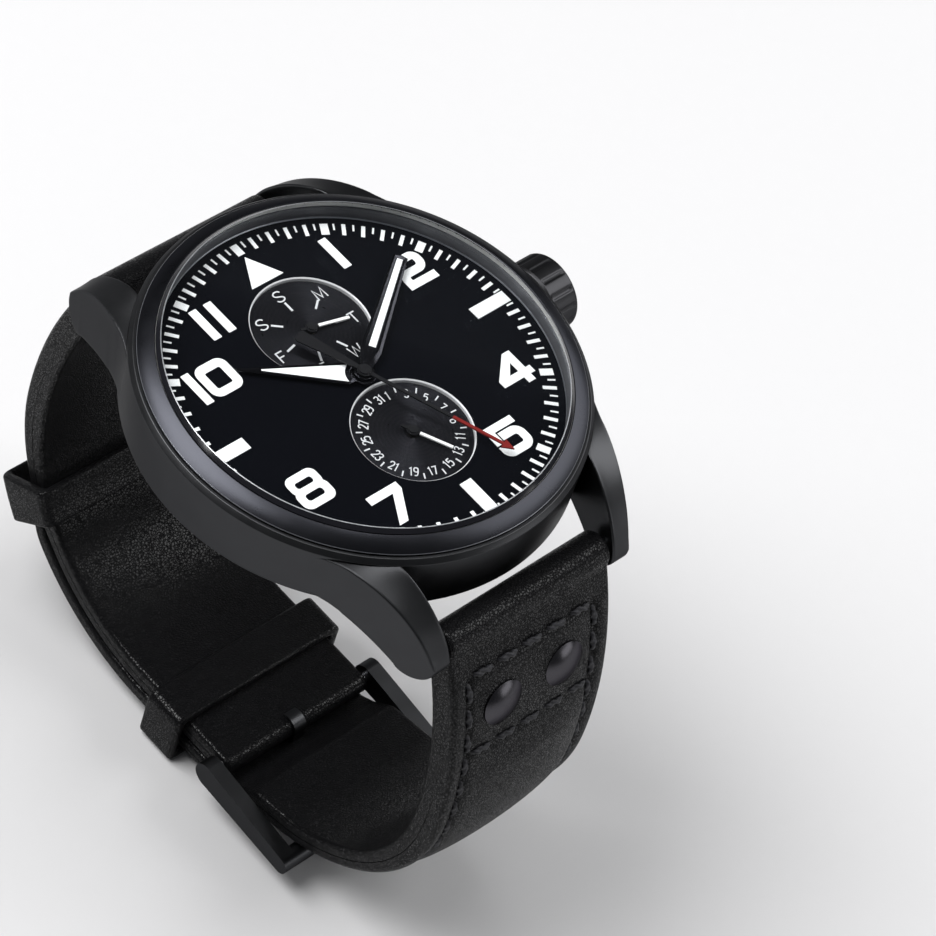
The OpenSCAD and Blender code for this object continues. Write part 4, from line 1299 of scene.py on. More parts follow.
@dataclass
class Dial:
    """Dial plate with two round openings, discs set low in them, numerals and tracks.

    Marks are (inner radius, outer radius, width) and signs (radius, height, stroke). Where two strokes
    lie on each other, one of them stands higher by step or sign_step, so no two faces coincide.
    """

    radius: float = 20.85
    low: float = 7.5
    top: float = 8.0
    hole: float = 6.13
    offset: float = 7.5
    chamfer: float = 0.12
    print_t: float = 0.045
    sunk: float = 0.02
    step: float = 0.003
    stroke: float = 0.95
    blocks: tuple[float, float, float] = (18.1, 19.5, 0.84)
    bars: tuple[float, float, float] = (18.07, 19.5, 0.40)
    ticks: tuple[float, float, float] = (18.7, 19.5, 0.19)
    day_signs: tuple[float, float, float] = (4.85, 1.35, 0.15)
    day_marks: tuple[float, float, float] = (2.75, 3.95, 0.22)
    date_signs: tuple[float, float, float] = (4.78, 0.98, 0.12)
    date_squeeze: float = 0.78
    date_marks: tuple[float, float, float] = (4.95, 5.6, 0.14)
    sign_t: float = 0.035
    sign_sunk: float = 0.015
    sign_step: float = 0.002
    groove_start: float = 0.4
    groove_pitch: float = 0.12787
    groove_depth: float = 0.0145
    disc_t: float = 0.2

    def plate(self) -> None:
        """The plate as two halves, each a grid from its hole out to the half-disc's edge.

        Formula: from the hole's centre (0, c) a ray at angle t meets the circle at
        s = -c sin t + sqrt(R^2 - c^2 cos^2 t), or the middle line at s = -c / sin t where that is nearer.
        """
        skin = Skin()
        steps = 288
        t = np.arange(steps) * (2 * math.pi / steps)
        c, big = self.offset, self.radius
        out = -c * np.sin(t) + np.sqrt(big ** 2 - (c * np.cos(t)) ** 2)
        line = np.where(np.sin(t) < -1e-9, c / np.maximum(-np.sin(t), 1e-9), 1e9)
        reach = np.minimum(out, line)
        share = np.linspace(0, 1, 9)[:, None]
        for sign in (1, -1):
            way = np.stack((np.cos(t), sign * np.sin(t)), -1)
            mid = np.array((0.0, sign * c))
            for z, start in ((self.top, self.hole + self.chamfer), (self.low, self.hole)):
                r = start + (reach - start) * share
                flat = mid + way[None] * r[..., None]
                skin.grid(np.concatenate((flat, np.full(flat.shape[:2] + (1,), z)), -1), False, True)
            bevel = np.array([(self.hole, self.low), (self.hole, self.top - self.chamfer),
                              (self.hole + self.chamfer, self.top)])
            for part in (bevel[:2], bevel[1:]):
                skin.grid(turned(part, steps, Axis.Z, (0, sign * c, 0)), False, True, 1)
        half = reach[:, None] * np.stack((np.cos(t), np.sin(t)), -1) + np.array((0.0, c))
        rim = half[np.abs(np.hypot(half[:, 0], half[:, 1]) - big) < 1e-6]
        rim = rim[np.argsort(np.arctan2(rim[:, 1], rim[:, 0]))]
        loop = np.vstack((rim, (rim * (1, -1))[::-1]))
        skin.grid(np.stack((raised(loop, self.low), raised(loop, self.top)), 1), True, False)
        skin.build("dial_plate", Ride("case", "dial_black", ("dial",)), DIAL, SUBDIAL_RIM, crease=25)

    def marks(self, skin: Skin, angles: Array, mark: tuple[float, float, float], low: float,
              centre: Sequence[float] = (0.0, 0.0)) -> None:
        """Add square-ended marks that point outward.

        Args:
            skin: where they are added.
            angles: clockwise angles in degrees.
            mark: inner radius, outer radius and width.
            low: height of their underside, a little inside what they are printed on.
            centre: the centre they stand round.
        """
        r0, r1, width = mark
        for a in np.radians(angles):
            out, side = np.array((math.sin(a), math.cos(a))), np.array((math.cos(a), -math.sin(a)))
            box = np.array([out * r0 - side * width / 2, out * r1 - side * width / 2,
                            out * r1 + side * width / 2, out * r0 + side * width / 2])
            skin.plate(box + np.array(centre), low, low + self.print_t + self.sunk)

    def track(self) -> None:
        """Minute track: blocks every five minutes, bars every minute, ticks between."""
        skin = Skin()
        low = self.top - self.sunk
        minutes = np.arange(60)
        fives = minutes[(minutes % 5 == 0) & (minutes % 15 != 0) | (minutes == 0)]
        self.marks(skin, fives * 6.0, self.blocks, low)
        self.marks(skin, minutes[minutes % 5 != 0] * 6.0, self.bars, low)
        self.marks(skin, minutes * 6.0 + 3.0, self.ticks, low)
        skin.build("minute_track", Ride("case", "dial_black"), PRINT)

    def numerals(self) -> None:
        """Hour numerals 1, 2, 4, 5, 7, 8, 10 and 11 in broad plain strokes."""
        skin = Skin()
        low, top = self.top - self.sunk, self.top + self.print_t
        over = top + self.step
        ones = ((-9.43, 11.21, -8.46, 15.26), (-7.53, 11.21, -6.57, 15.26), (7.71, 11.30, 8.69, 15.46),
                (-15.21, 5.5, -14.29, 9.57))
        for bar in ones:
            skin.plate(filleted(corners_of(*bar), 0.07, 3), low, top)
        # the 0 of the 10, then the upper and lower bowl of the 8: outer and inner box, each with its radius
        bowls = ((((-13.93, 5.5, -10.14, 9.57), 1.05), ((-13.0, 6.43, -11.11, 8.57), 0.22), top),
                 (((-15.2, -7.72, -11.52, -5.36), 0.85), ((-14.43, -6.98, -12.38, -6.24), 0.3), top),
                 (((-15.31, -9.5, -11.41, -7.0), 0.9), ((-14.43, -8.63, -12.34, -7.8), 0.34), over))
        for outer, inner, high in bowls:
            loops = [filleted(corners_of(*box), radius, 8) for box, radius in (outer, inner)]
            skin.ring(*loops, low, high)
        two = [(13.75, 9.16), (14.98, 9.16), (14.98, 7.46), (12.19, 7.46), (12.19, 6.04), (15.46, 6.04)]
        skin.ribbon(filleted(two, [0, 0.8, 0.8, 0.75, 0.0, 0], 9, False), self.stroke, low, top)
        four_outer = [(11.29, -7.79), (11.29, -8.67), (14.86, -8.67), (14.86, -5.31), (13.93, -5.31)]
        four_inner = [(12.80, -7.77), (12.80, -7.79), (13.91, -7.79), (13.91, -6.55), (13.91, -6.55)]
        skin.ring(np.array(four_outer), np.array(four_inner), low, top)
        skin.plate(corners_of(13.89, -9.43, 14.81, -8.67), low, top)
        skin.plate(corners_of(14.86, -8.67, 15.43, -7.79), low, top)
        skin.plate(corners_of(5.7, -12.2, 9.33, -11.33), low, top)
        skin.plate([(5.64, -13.64), (6.57, -13.64), (6.57, -12.2), (5.68, -12.2)], low, top)
        five = [(6.75, -12.89), (8.96, -12.89), (8.96, -14.95), (6.11, -14.95), (6.11, -13.85)]
        skin.ribbon(filleted(five, [0, 0.75, 0.75, 0.6, 0], 8, False), self.stroke, low, over)
        skin.plate(corners_of(-9.69, -12.24, -5.79, -11.29), low, top)
        seven = [(-8.12, -15.46), (-7.83, -15.46), (-5.8, -12.2), (-6.97, -12.24), (-8.93, -15.46)]
        skin.plate(seven, low, over)
        skin.build("hour_numerals", Ride("case", "dial_black"), PRINT)

    def signs(self, skin: Skin, text: str, at: Array, turn: float, size: Sequence[float], low: float,
              squeeze: float = 1.0) -> None:
        """Add a short word of plain signs.

        Args:
            skin: where it is added.
            text: the word.
            at: its middle.
            turn: how far it is turned clockwise, in degrees.
            size: height of the signs and width of their strokes.
            low: height of their underside.
            squeeze: their width as a share of what is usual.
        """
        height, stroke = size
        spin = clockwise(turn)
        pitch = 0.66 * height * squeeze
        for k, sign in enumerate(text):
            shift = (k - (len(text) - 1) / 2) * pitch
            for j, line in enumerate(letter(sign)):
                flat = line * np.array((height * squeeze, height)) + np.array((shift, 0.0))
                skin.ribbon(flat @ spin + at, stroke, low, low + self.sign_t + self.sign_step * j)

    def subdials(self) -> None:
        """Weekday initials with their marks, and the dates with theirs."""
        low = self.low - self.sign_sunk
        day = Skin()
        heart = np.array((0.0, self.offset))
        reach, *size = self.day_signs
        for k, sign in enumerate("SMTWTFS"):
            self.signs(day, sign, heart + outward(k * 360 / 7) * reach, 0.0, size, low)
        self.marks(day, np.arange(7) * 360 / 7, self.day_marks, low, heart)
        day.build("day_print", Ride("case", "subdial_black"), FINE_PRINT)
        date = Skin()
        heart = np.array((0.0, -self.offset))
        step = 360 / 31
        reach, *size = self.date_signs
        for n in range(1, 32, 2):
            a = n * step
            out = outward(a)
            upright = a if out[1] > -0.05 else a + 180
            self.signs(date, str(n), heart + out * reach, upright, size, low, self.date_squeeze)
        self.marks(date, np.arange(2, 31, 2) * step, self.date_marks, low, heart)
        date.build("date_print", Ride("case", "subdial_black"), FINE_PRINT)

    def disc(self, name: str, side: int) -> None:
        """A sub-dial's disc, its face turned with real concentric grooves.

        Formula: z = low - depth (1 - cos(2 pi (r - start) / pitch)) / 2 over the radius r.

        Args:
            name: the sub-dial's name.
            side: 1 for the upper one, -1 for the lower one.
        """
        low, end, start = self.low, self.hole, self.groove_start
        grooves, rows_each = 44, 6
        r = np.linspace(start, end - 0.1, grooves * rows_each + 1)
        z = low - 0.5 * self.groove_depth * (1 - np.cos(2 * math.pi * (r - start) / self.groove_pitch))
        rim = [(end - 0.02, low), (end, low - 0.02), (end, low - self.disc_t), (0, low - self.disc_t)]
        line = np.vstack(([(0, low)], np.c_[r, z], rim))
        centre = (0.0, side * self.offset, 0.0)
        Skin().grid(turned(line, 144, Axis.Z, centre), False, True).build(
            name + "_disc", Ride("case", "subdial_black", (name + "_subdial",)),
            Snailed("snailed_" + name, centre=centre), crease=60)

    def build(self) -> None:
        """Plate, prints and the turned discs."""
        self.plate()
        self.track()
        self.numerals()
        self.subdials()
        self.disc("day", 1)
        self.disc("date", -1)
        dress("dial_markers", MARKER)


@dataclass
class Hands:
    """Hour, minute, seconds, day and date hands, at the angles of the photograph."""

    hour: float = 304.6
    minute: float = 55.2
    seconds: float = 158.3
    day: float = 104.3
    date: float = 152.2
    hour_z: float = 8.45
    minute_z: float = 8.75
    hour_window: tuple[Pair, Pair] = ((0.1, 10.07), (1.05, 1.5))
    hour_edge: tuple[Pair, Pair] = ((0.14, 12.5), (1.36, 1.6))
    minute_window: tuple[Pair, Pair] = ((0.30, 15.55), (0.36, 3.4))
    minute_edge: tuple[Pair, Pair] = ((0.74, 15.95), (1.06, 2.9))
    minute_point: float = 16.15
    inlay: Pair = (0.01, 0.13)
    red_from: float = 9.7
    white_from: float = 0.75
    white: Colour = (0.82, 0.82, 0.80)
    offset: float = 7.5

    def toward(self, clock: float) -> Place:
        """Unit direction of a clockwise angle in degrees, as the finish wants it."""
        return (*(float(c) for c in outward(clock)), 0.0)

    def frame(self, name: str, node: str, body: str, clock: float, low: float, inner: Array, outer: Array,
              hub: Pair) -> None:
        """A hand's frame with a ridge along its middle, and the ring of its hub.

        Formula: the section runs from the window's edge up to a ridge 0.42 of the way in from the
        outer edge and down to that edge, then back underneath.

        Args:
            name: the piece's name.
            node: the solid it replaces.
            body: the body it turns with.
            clock: the hand's clockwise angle.
            low: height of its underside.
            inner: the window's outline, hand upright.
            outer: the hand's outline of the same count.
            hub: the hub ring's outer and inner radius.
        """
        ridge = outer + 0.42 * (inner - outer)
        lip = outer + 0.86 * (inner - outer)
        loops = ((inner, low), (outer, low), (outer, low + 0.07), (ridge, low + 0.20), (lip, low + 0.12),
                 (inner, low + 0.15))
        skin = Skin()
        spin = clockwise(clock)
        skin.grid(np.stack([raised(flat @ spin, z) for flat, z in loops], 1), True, True)
        section = filleted(corners_of(hub[1], low, hub[0], low + 0.19), [0.0, 0.0, 0.05, 0.05])
        skin.grid(turned(section, 64), True, True)
        skin.build(name, Ride(body, "hand_black", (node,)), HAND_GLOSS, crease=12)

    def fill(self, name: str, node: str, body: str, clock: float, low: float, outline: Array) -> None:
        """The luminous inlay in a hand's window, a thin plate."""
        plate = Skin().plate(outline @ clockwise(clock), low + self.inlay[0], low + self.inlay[1])
        plate.build(name, Ride(body, "lume", (node,)), LUME)

    def hour_hand(self) -> None:
        """Long kite with a window whose inner end is hollowed round the hub."""
        (tip_in, foot_in), (tip_out, foot_out) = self.hour_window, self.hour_edge
        flip = np.array((-1.0, 1.0))
        corner = math.degrees(math.atan2(foot_in[1], foot_in[0]))
        notch = arc((0, 0), math.hypot(foot_in[1], foot_in[0]), corner, 180 - corner, 25)
        side_in, side_out = between(tip_in, foot_in, 25), between(tip_out, foot_out, 25)
        end_out = evened(np.vstack(([foot_out], arc((0, 0), 1.1, 42, 138, 25), [foot_out * flip])), 25)
        inner = np.vstack((side_in[:-1], notch[:-1], (side_in * flip)[::-1][:-1], [tip_in * flip]))
        outer = np.vstack((side_out[:-1], end_out[:-1], (side_out * flip)[::-1][:-1], [tip_out * flip]))
        self.frame("hour_frame", "hour_hand", "hour", self.hour, self.hour_z, inner, outer, (1.28, 0.86))
        self.fill("hour_inlay", "hour_hand_lume", "hour", self.hour, self.hour_z, inner * (0.999, 0.9995))

    def minute_hand(self) -> None:
        """Long bar with a narrow window."""
        (tip_in, foot_in), (tip_out, foot_out) = self.minute_window, self.minute_edge
        flip = np.array((-1.0, 1.0))
        side_in, side_out = between(tip_in, foot_in, 25), between(tip_out, foot_out, 25)
        end_in = evened(np.array([foot_in, foot_in * flip]), 13)
        end_out = evened(np.array([foot_out, (0.66, 0.75), (-0.66, 0.75), foot_out * flip]), 13)
        inner = np.vstack((side_in[:-1], end_in[:-1], (side_in * flip)[::-1], [(0.0, tip_in[1])]))
        outer = np.vstack((side_out[:-1], end_out[:-1], (side_out * flip)[::-1], [(0.0, self.minute_point)]))
        self.frame("minute_frame", "minute_hand", "minute", self.minute, self.minute_z, inner, outer,
                   (0.98, 0.62))
        self.fill("minute_inlay", "minute_hand_lume", "minute", self.minute, self.minute_z, inner * 0.9995)

    def build(self) -> None:
        """Frames and inlays are new; the other hands keep their solids, each small one with its centre."""
        self.hour_hand()
        self.minute_hand()
        dress("seconds_hand", TwoTone("seconds_two_tone", direction=self.toward(self.seconds),
                                      start=self.red_from))
        for node, clock, side in (("day_hand", self.day, 1), ("date_hand", self.date, -1)):
            dress(node, TwoTone(node + "_tone", direction=self.toward(clock),
                                centre=(0.0, side * self.offset, 0.0), start=self.white_from,
                                front=self.white))


# ---------------------------------------------------------------- strap


@dataclass
class StrapPlan:
    """Sizes that both strap halves share; the lines lie in the plane of y and z.

    Widths are half widths. The lining's radius in the bend is given at angles down from the side.
    """

    side_centre: Pair = (-19.8, -22.0)
    side_radius: float = 52.0
    side_inner: float = 48.8
    side_top: Pair = (0.3, -1.2)
    bend_centre: Pair = (8.2, -22.0)
    bend_radius: float = 24.0
    lining_angles: tuple[float, ...] = (0, 6, 42)
    lining_radii: tuple[float, ...] = (20.8, 20.8, 21.6)
    wrist: Pair = (4.0, -22.0)
    roll: Pair = (25.1, 1.15)
    roll_radius: float = 2.0
    width: float = 10.75
    width_low: float = 10.0
    narrows: Pair = (-0.85, -40.0)
    row_z: Pair = (-2.3, -11.9)
    column_x: float = 8.45
    stitch_pitch: float = 3.27
    stitch_len: float = 2.75
    stitch_radius: float = 0.36
    stitch_slant: float = 0.12
    rivet_angle: float = 16.5
    rivet_x: float = 4.15
    rivet_radius: float = 2.5
    rivet_height: float = 0.95
    rivet_base: float = 0.12
    rivet_rim: float = 0.25
    shank_radius: float = 0.8
    back_radius: float = 1.5
    back_depth: Pair = (-3.05, -3.25)

    def half_width(self, z: Array) -> Array:
        """Half the width: full beside the case, then narrowing evenly down to the buckle."""
        high, low = self.narrows
        return self.width + (self.width_low - self.width) * np.clip((high - z) / (high - low), 0, 1)

    def lining(self, end: float, count: int) -> Array:
        """The inner line round the bend.

        Formula: c + R(a) (cos a, -sin a) for angles a from 0 to the end, R straight between its angles.

        Args:
            end: the last angle down from the side, in degrees.
            count: how many points are laid out; the first is left out.

        Returns:
            (count - 1, 2) points.
        """
        down = np.linspace(0, end, count)
        radius = np.interp(down, self.lining_angles, self.lining_radii)
        t = np.radians(-down)
        return (np.array(self.bend_centre) + radius[:, None] * np.stack((np.cos(t), np.sin(t)), -1))[1:]


@dataclass
class StrapHalf:
    """One half of the strap: a closed padded leather body with sunk seams, stitches and rivets.

    It is laid out toward +Y and turned over by mirror. seam_end and lap_start are lengths along the
    outer line; round_end is how much of the end is rounded off.
    """

    plan: StrapPlan
    name: str
    node: str
    body: str
    mirror: float
    outer_tail: Array
    inner_tail: Array
    end_cap: Array
    seam_end: float
    round_end: float = 0.0
    lap_start: float = 1e9
    stations: int = 190
    outer: Array = field(init=False)
    inner: Array = field(init=False)

    def __post_init__(self) -> None:
        """Lay out the outer and inner lines from the roll to the end, evenly spaced."""
        p = self.plan
        a = math.degrees(math.asin((p.side_top[0] - p.side_centre[1]) / p.side_radius))
        b = math.degrees(math.asin((p.side_top[1] - p.side_centre[1]) / p.side_inner))
        side_out = arc(p.side_centre, p.side_radius, a, 0.0, 60)
        side_in = arc(p.side_centre, p.side_inner, b, 0.0, 60)
        self.outer = evened(np.vstack((side_out, self.outer_tail)), self.stations)
        self.inner = evened(np.vstack((side_in, self.inner_tail)), self.stations)

    def run(self) -> Array:
        """Length along the outer line at each station."""
        return run_along(self.outer)

    def seam_stations(self) -> Pair:
        """Lengths along the outer line where the two cross seams lie."""
        z, s = self.outer[:60, 1], self.run()[:60]
        return tuple(float(np.interp(-row, -z, s)) for row in self.plan.row_z)

    def swell(self, s: Array, x: Array) -> Array:
        """How far the outer face stands out.

        Formula: a low dome between the seams, fuller below the second cross seam and low again where
        the other half's tail lies on it; bells of negative height along the seams sink the stitches;
        a rounded rim stands at the turned edges.

        Args:
            s: length along the outer line.
            x: place across.

        Returns:
            Height in millimetres.
        """
        first, second = self.seam_stations()
        column = self.plan.column_x
        inside = np.clip((s - first + 0.4) / 0.8, 0, 1) * np.clip((self.seam_end + 1.0 - s) / 1.0, 0, 1)
        across = np.clip(1 - (x / column) ** 2, 0, 1)
        down = np.clip((s - second) / 5.0, 0, 1)
        far = np.clip((self.seam_end - 2.0 - s) / 26.0, 0, 1)
        free = np.clip((self.lap_start - s) / 4.0, 0, 1)
        full = eased(down) * eased(free) * far
        dome = (0.22 + 0.70 * full) * across ** 0.6 * inside
        groove = -0.30 * np.exp(-((np.abs(x) - column) / 0.42) ** 2) * inside
        rows = sum(-0.22 * np.exp(-((s - row) / 0.5) ** 2) for row in (first, second))
        rows = rows * np.clip((column + 0.2 - np.abs(x)) / 0.6, 0, 1)
        rim = 0.12 * np.exp(-((np.abs(x) - column - 1.25) / 0.7) ** 2) * inside
        return dome + groove + rows + rim

    def loop(self) -> tuple[Array, Array]:
        """The closed side outline: half the end's cap, outer line, roll, inner line, the other half.

        Returns:
            (n, 2) points, and for each its length along the outer line, or -1 where it isn't on it.
        """
        p = self.plan
        roll = arc(p.roll, p.roll_radius, -8.0, 224.0, 42)
        half = len(self.end_cap) // 2
        outline = np.vstack((self.end_cap[half:], self.outer[::-1], roll, self.inner, self.end_cap[:half]))
        before = len(self.end_cap) - half
        s = np.full(len(outline), -1.0)
        s[before:before + self.stations] = self.run()[::-1]
        return outline, s

    def make(self) -> None:
        """The leather body."""
        outline, s = self.loop()
        keep = distinct(outline, 1e-4)
        outline, s = outline[keep], s[keep]
        y, z = outline.T
        w = self.plan.half_width(z)
        if self.round_end:
            end = self.outer[-1]
            gap = np.hypot(y - end[0], z - end[1])
            at = np.arange(len(y)) / len(y)
            near = (gap < self.round_end) & ((at < 0.2) | (at > 0.8))
            k = np.clip(1 - gap / self.round_end, 0, 1)
            w = np.where(near, w * np.sqrt(np.maximum(1 - k ** 2.2 * 0.86, 0.05)), w)
        near_side = np.stack((-w, y * self.mirror, z), -1)
        far_side = np.stack((w, y * self.mirror, z), -1)

        def lift(x: Array) -> Array:
            """The outer face's swell at each point of the outline."""
            return np.where(s[:, None] >= 0, self.swell(np.maximum(s, 0)[:, None], x), 0.0)

        grid = slab(near_side, far_side, 0.5, cells=84, fills=4, lift=lift)
        Skin().grid(grid, True, False).build(
            self.name, Ride(self.body, "leather", (self.node,)), LEATHER, crease=50)

    def on_face(self, s: Array, x: Array) -> tuple[Array, Array, Array]:
        """Points on the outer face with the normal and the direction along the strap.

        Args:
            s: lengths along the outer line.
            x: places across.

        Returns:
            Points, unit normals and unit directions, each (n, 3).
        """
        run = self.run()

        def place(at: Array) -> Array:
            """Points of the outer line at lengths along it."""
            return np.stack([np.interp(at, run, self.outer[:, k]) for k in (0, 1)], -1)

        ahead, behind = place(s + 0.3), place(s - 0.3)
        way = (ahead - behind) / np.linalg.norm(ahead - behind, axis=1)[:, None]
        out = np.stack((-way[:, 1], way[:, 0]), -1)
        out *= np.sign((out * (place(s) - np.array(self.plan.wrist))).sum(1))[:, None]
        flat = place(s) + out * self.swell(s, x)[:, None]
        m = self.mirror
        return (np.stack((x, flat[:, 0] * m, flat[:, 1]), -1),
                np.stack((0 * x, out[:, 0] * m, out[:, 1]), -1),
                np.stack((0 * x, way[:, 0] * m, way[:, 1]), -1))

    def stitches(self) -> None:
        """Twisted stitches in two cross rows and two long columns.

        Formula: a stitch is a tube whose radius swells as sin of its length and ripples with two
        plies, cos(2 t - twist), laid on the face and dipping at both ends.
        """
        p = self.plan
        first, second = self.seam_stations()
        along = np.arange(first + 1.9, self.seam_end - 1.0, p.stitch_pitch)
        rows = np.arange(-2, 3) * p.stitch_pitch
        s = np.concatenate((0 * rows + first, 0 * rows + second, along, along))
        x = np.concatenate((rows, rows, 0 * along - p.column_x, 0 * along + p.column_x))
        lies_across = np.repeat((1.0, 0.0), (2 * len(rows), 2 * len(along)))[:, None]
        point, out, way = self.on_face(s, x)
        side = np.broadcast_to(np.array((1.0, 0.0, 0.0)), point.shape)
        slant = p.stitch_slant
        lead = np.where(lies_across > 0, side + slant * way, way + slant * side)
        lead /= np.linalg.norm(lead, axis=1)[:, None]
        cross = np.cross(out, lead)
        u = np.linspace(0, 1, 17)[None, :, None, None]
        t = (np.arange(8) * (math.pi / 4))[None, None, :, None]
        plies = 1 + 0.30 * np.cos(2 * t - 15.0 * u)
        radius = p.stitch_radius * np.sin(u * math.pi) ** 0.3 * plies
        lift = 0.20 - 0.36 * (2 * u - 1) ** 6
        grid = (point[:, None, None] + lead[:, None, None] * (u - 0.5) * p.stitch_len
                + out[:, None, None] * (lift + 0.7 * radius * np.sin(t))
                + cross[:, None, None] * radius * np.cos(t))
        Skin().copies(grid).build(self.name + "_stitches", Ride(self.body, "leather"), THREAD, crease=80)

    def rivets(self) -> None:
        """Two domed rivets, each a turned cap on a shank, with a flat head on the inside.

        Formula: the cap's height is h - R + sqrt(R^2 - r^2), with R = (r1^2 + d^2) / (2 d) for a rim of
        radius r1 that lies d below the top.
        """
        p = self.plan
        a = math.radians(p.rivet_angle)
        out = np.array((0.0, math.cos(a), math.sin(a)))
        up = np.array((0.0, -math.sin(a), math.cos(a)))
        foot = np.array((0.0, p.side_centre[0] + p.side_radius * math.cos(a),
                         p.side_centre[1] + p.side_radius * math.sin(a)))
        r, h, rise = p.rivet_radius, p.rivet_height, p.rivet_height - p.rivet_rim
        bow = (r * r + rise ** 2) / (2 * rise)
        t = np.linspace(0, 1, 16)
        cap = np.stack((r * t, h - bow + np.sqrt(bow * bow - (r * t) ** 2)), -1)
        shank, back, (near, far) = p.shank_radius, p.back_radius, p.back_depth
        line = np.vstack((cap, [(r, p.rivet_base), (r - 0.15, -p.rivet_base), (shank, -p.rivet_base),
                                (shank, near + 0.05), (back, near), (back, far), (0, far)]))
        disc = turned(line, 64)
        skin = Skin()
        for side in (-1, 1):
            grid = (disc[..., :1] * np.array((1.0, 0, 0)) + disc[..., 1:2] * up + disc[..., 2:] * out
                    + foot + np.array((side * p.rivet_x, 0, 0)))
            skin.grid(grid * np.array((1.0, self.mirror, 1.0)), False, True)
        skin.build("rivets" + self.name[-3:], Ride(self.body, "rivet_black", ("rivets" + self.node[5:],)),
                   RIVET_GLOSS, crease=40)

    def build(self) -> None:
        """Leather, stitches and rivets."""
        self.make()
        self.stitches()
        self.rivets()


@dataclass
class Keeper:
    """The fixed leather loop round both layers: a rounded box section carried along y."""

    name: str
    node: str
    body: str

    def shape(self) -> Array:
        """The loop's wall.

        Returns:
            A closed grid.
        """
        outer = filleted(corners_of(-11.6, -49.9, 11.6, -42.6), 1.1, 9)
        inner = filleted(corners_of(-10.4, -48.8, 10.4, -43.6), 0.5, 9)
        return self.section(outer, inner, np.linspace(0.4, 5.4, 9), None)

    def section(self, outer: Array, inner: Array, along: Array, centre: Optional[Pair]) -> Array:
        """Carry the band between two loops along y, or round a centre, with both rims rounded.

        Formula: the wall's section runs over the outer loop, round one rim, back over the inner loop
        and round the other rim; the rim is the mean of the loops.

        Args:
            outer: outer loop.
            inner: inner loop of the same count.
            along: places along y, or angles.
            centre: the bend's centre, or None for a straight loop.

        Returns:
            A grid, section place by loop point.
        """
        mean, half = 0.5 * (outer + inner), 0.5 * (outer - inner)
        rim = np.linspace(0, math.pi, 7)[1:-1]
        bead = (along[-1] - along[0]) * 0.06
        flat = np.ones(len(along))
        share = np.concatenate((flat, np.cos(rim), -flat, -np.cos(rim)))
        inset = along.copy()
        inset[0] += bead
        inset[-1] -= bead
        place = np.concatenate((inset, along[-1] - bead + bead * np.sin(rim), inset[::-1],
                                along[0] + bead - bead * np.sin(rim)))
        wall = mean[None] + half[None] * share[:, None, None]
        x, r = wall[..., 0], wall[..., 1]
        if centre is None:
            return np.stack((x, place[:, None] + 0 * x, r), -1)
        a = -place[:, None]
        return np.stack((x, centre[0] + r * np.cos(a), centre[1] + r * np.sin(a)), -1)

    def build(self) -> None:
        """One closed loop."""
        skin = Skin().grid(self.shape(), True, True)
        skin.build(self.name, Ride(self.body, "leather", (self.node,)), LEATHER, crease=50)


@dataclass
class FreeKeeper(Keeper):
    """The free loop: the same section carried round the bend's centre."""

    centre: Pair = StrapPlan.bend_centre

    def shape(self) -> Array:
        """The loop's wall; its section is given by x and the radius from the centre.

        Returns:
            A closed grid.
        """
        outer = filleted(corners_of(-11.6, 27.3, 11.6, 20.1), 1.0, 9)
        inner = filleted(corners_of(-10.4, 26.7, 10.4, 20.95), 0.4, 9)
        return self.section(outer, inner, np.radians(np.linspace(28, 40, 9)), self.centre)


@dataclass
class Strap:
    """Both halves, the loops and the buckle."""

    plan: StrapPlan = field(default_factory=StrapPlan)
    bar: Pair = (-5.2, -44.8)
    bar_wrap: float = 1.2
    lap_angle: float = -152.0
    lap_radii: Pair = (26.3, 24.5)

    def upper(self) -> StrapHalf:
        """The 12 o'clock half, which folds round the buckle's bar.

        Returns:
            The half, ready to build.
        """
        p, (y, z), wrap = self.plan, self.bar, self.bar_wrap
        outer = np.vstack((arc(p.bend_centre, p.bend_radius, -0.5, -90, 60), [(y, z - wrap)]))
        inner = np.vstack((p.lining(90, 60), [(y, z + wrap)]))
        cap = arc(self.bar, wrap, -90, -270, 13)
        return StrapHalf(p, "strap_upper_12", "strap_12", "strap_upper", 1.0, outer, inner, cap[::-1],
                         seam_end=72.0, lap_start=34.1)

    def lower(self) -> StrapHalf:
        """The 6 o'clock half, whose tail passes outside the other half and through the loops.

        Returns:
            The half, ready to build.
        """
        p, end = self.plan, self.lap_angle
        across = (-p.bend_centre[0], p.bend_centre[1])
        over, under = (arc(across, radius, -90, end, 40) for radius in self.lap_radii)
        # the tail follows the bend, steps out past the buckle's bar and goes on round the other half
        start = arc(p.bend_centre, p.bend_radius, -0.5, -78, 50)
        outer = np.vstack((start, [(6.4, -47.7), (4.6, -48.3)], over))
        inner = np.vstack((p.lining(70, 50), [(10.2, -43.4), (7.8, -45.5), (6.0, -46.5)], under))
        middle, half = sum(self.lap_radii) / 2, (self.lap_radii[0] - self.lap_radii[1]) / 2
        tip = arc(across, middle, end, end, 1)[0]
        cap = arc(tip, half, end, end - 180, 9)
        return StrapHalf(p, "strap_lower_06", "strap_6", "strap_lower", -1.0, outer, inner, cap[::-1],
                         seam_end=74.0, round_end=9.0, stations=230)

    def build(self) -> None:
        """All leather pieces; the buckle keeps its solids."""
        self.upper().build()
        self.lower().build()
        Keeper("keeper_loop_fixed", "keeper_fixed", "strap_upper").build()
        FreeKeeper("keeper_loop_free", "keeper_free", "keeper").build()
        for node in ("buckle_frame", "buckle_tang"):
            dress(node, CASE_COAT)
        for node in ("buckle_bar", "spring_bar_12", "spring_bar_6"):
            dress(node, STEEL)


# ---------------------------------------------------------------- inside and back


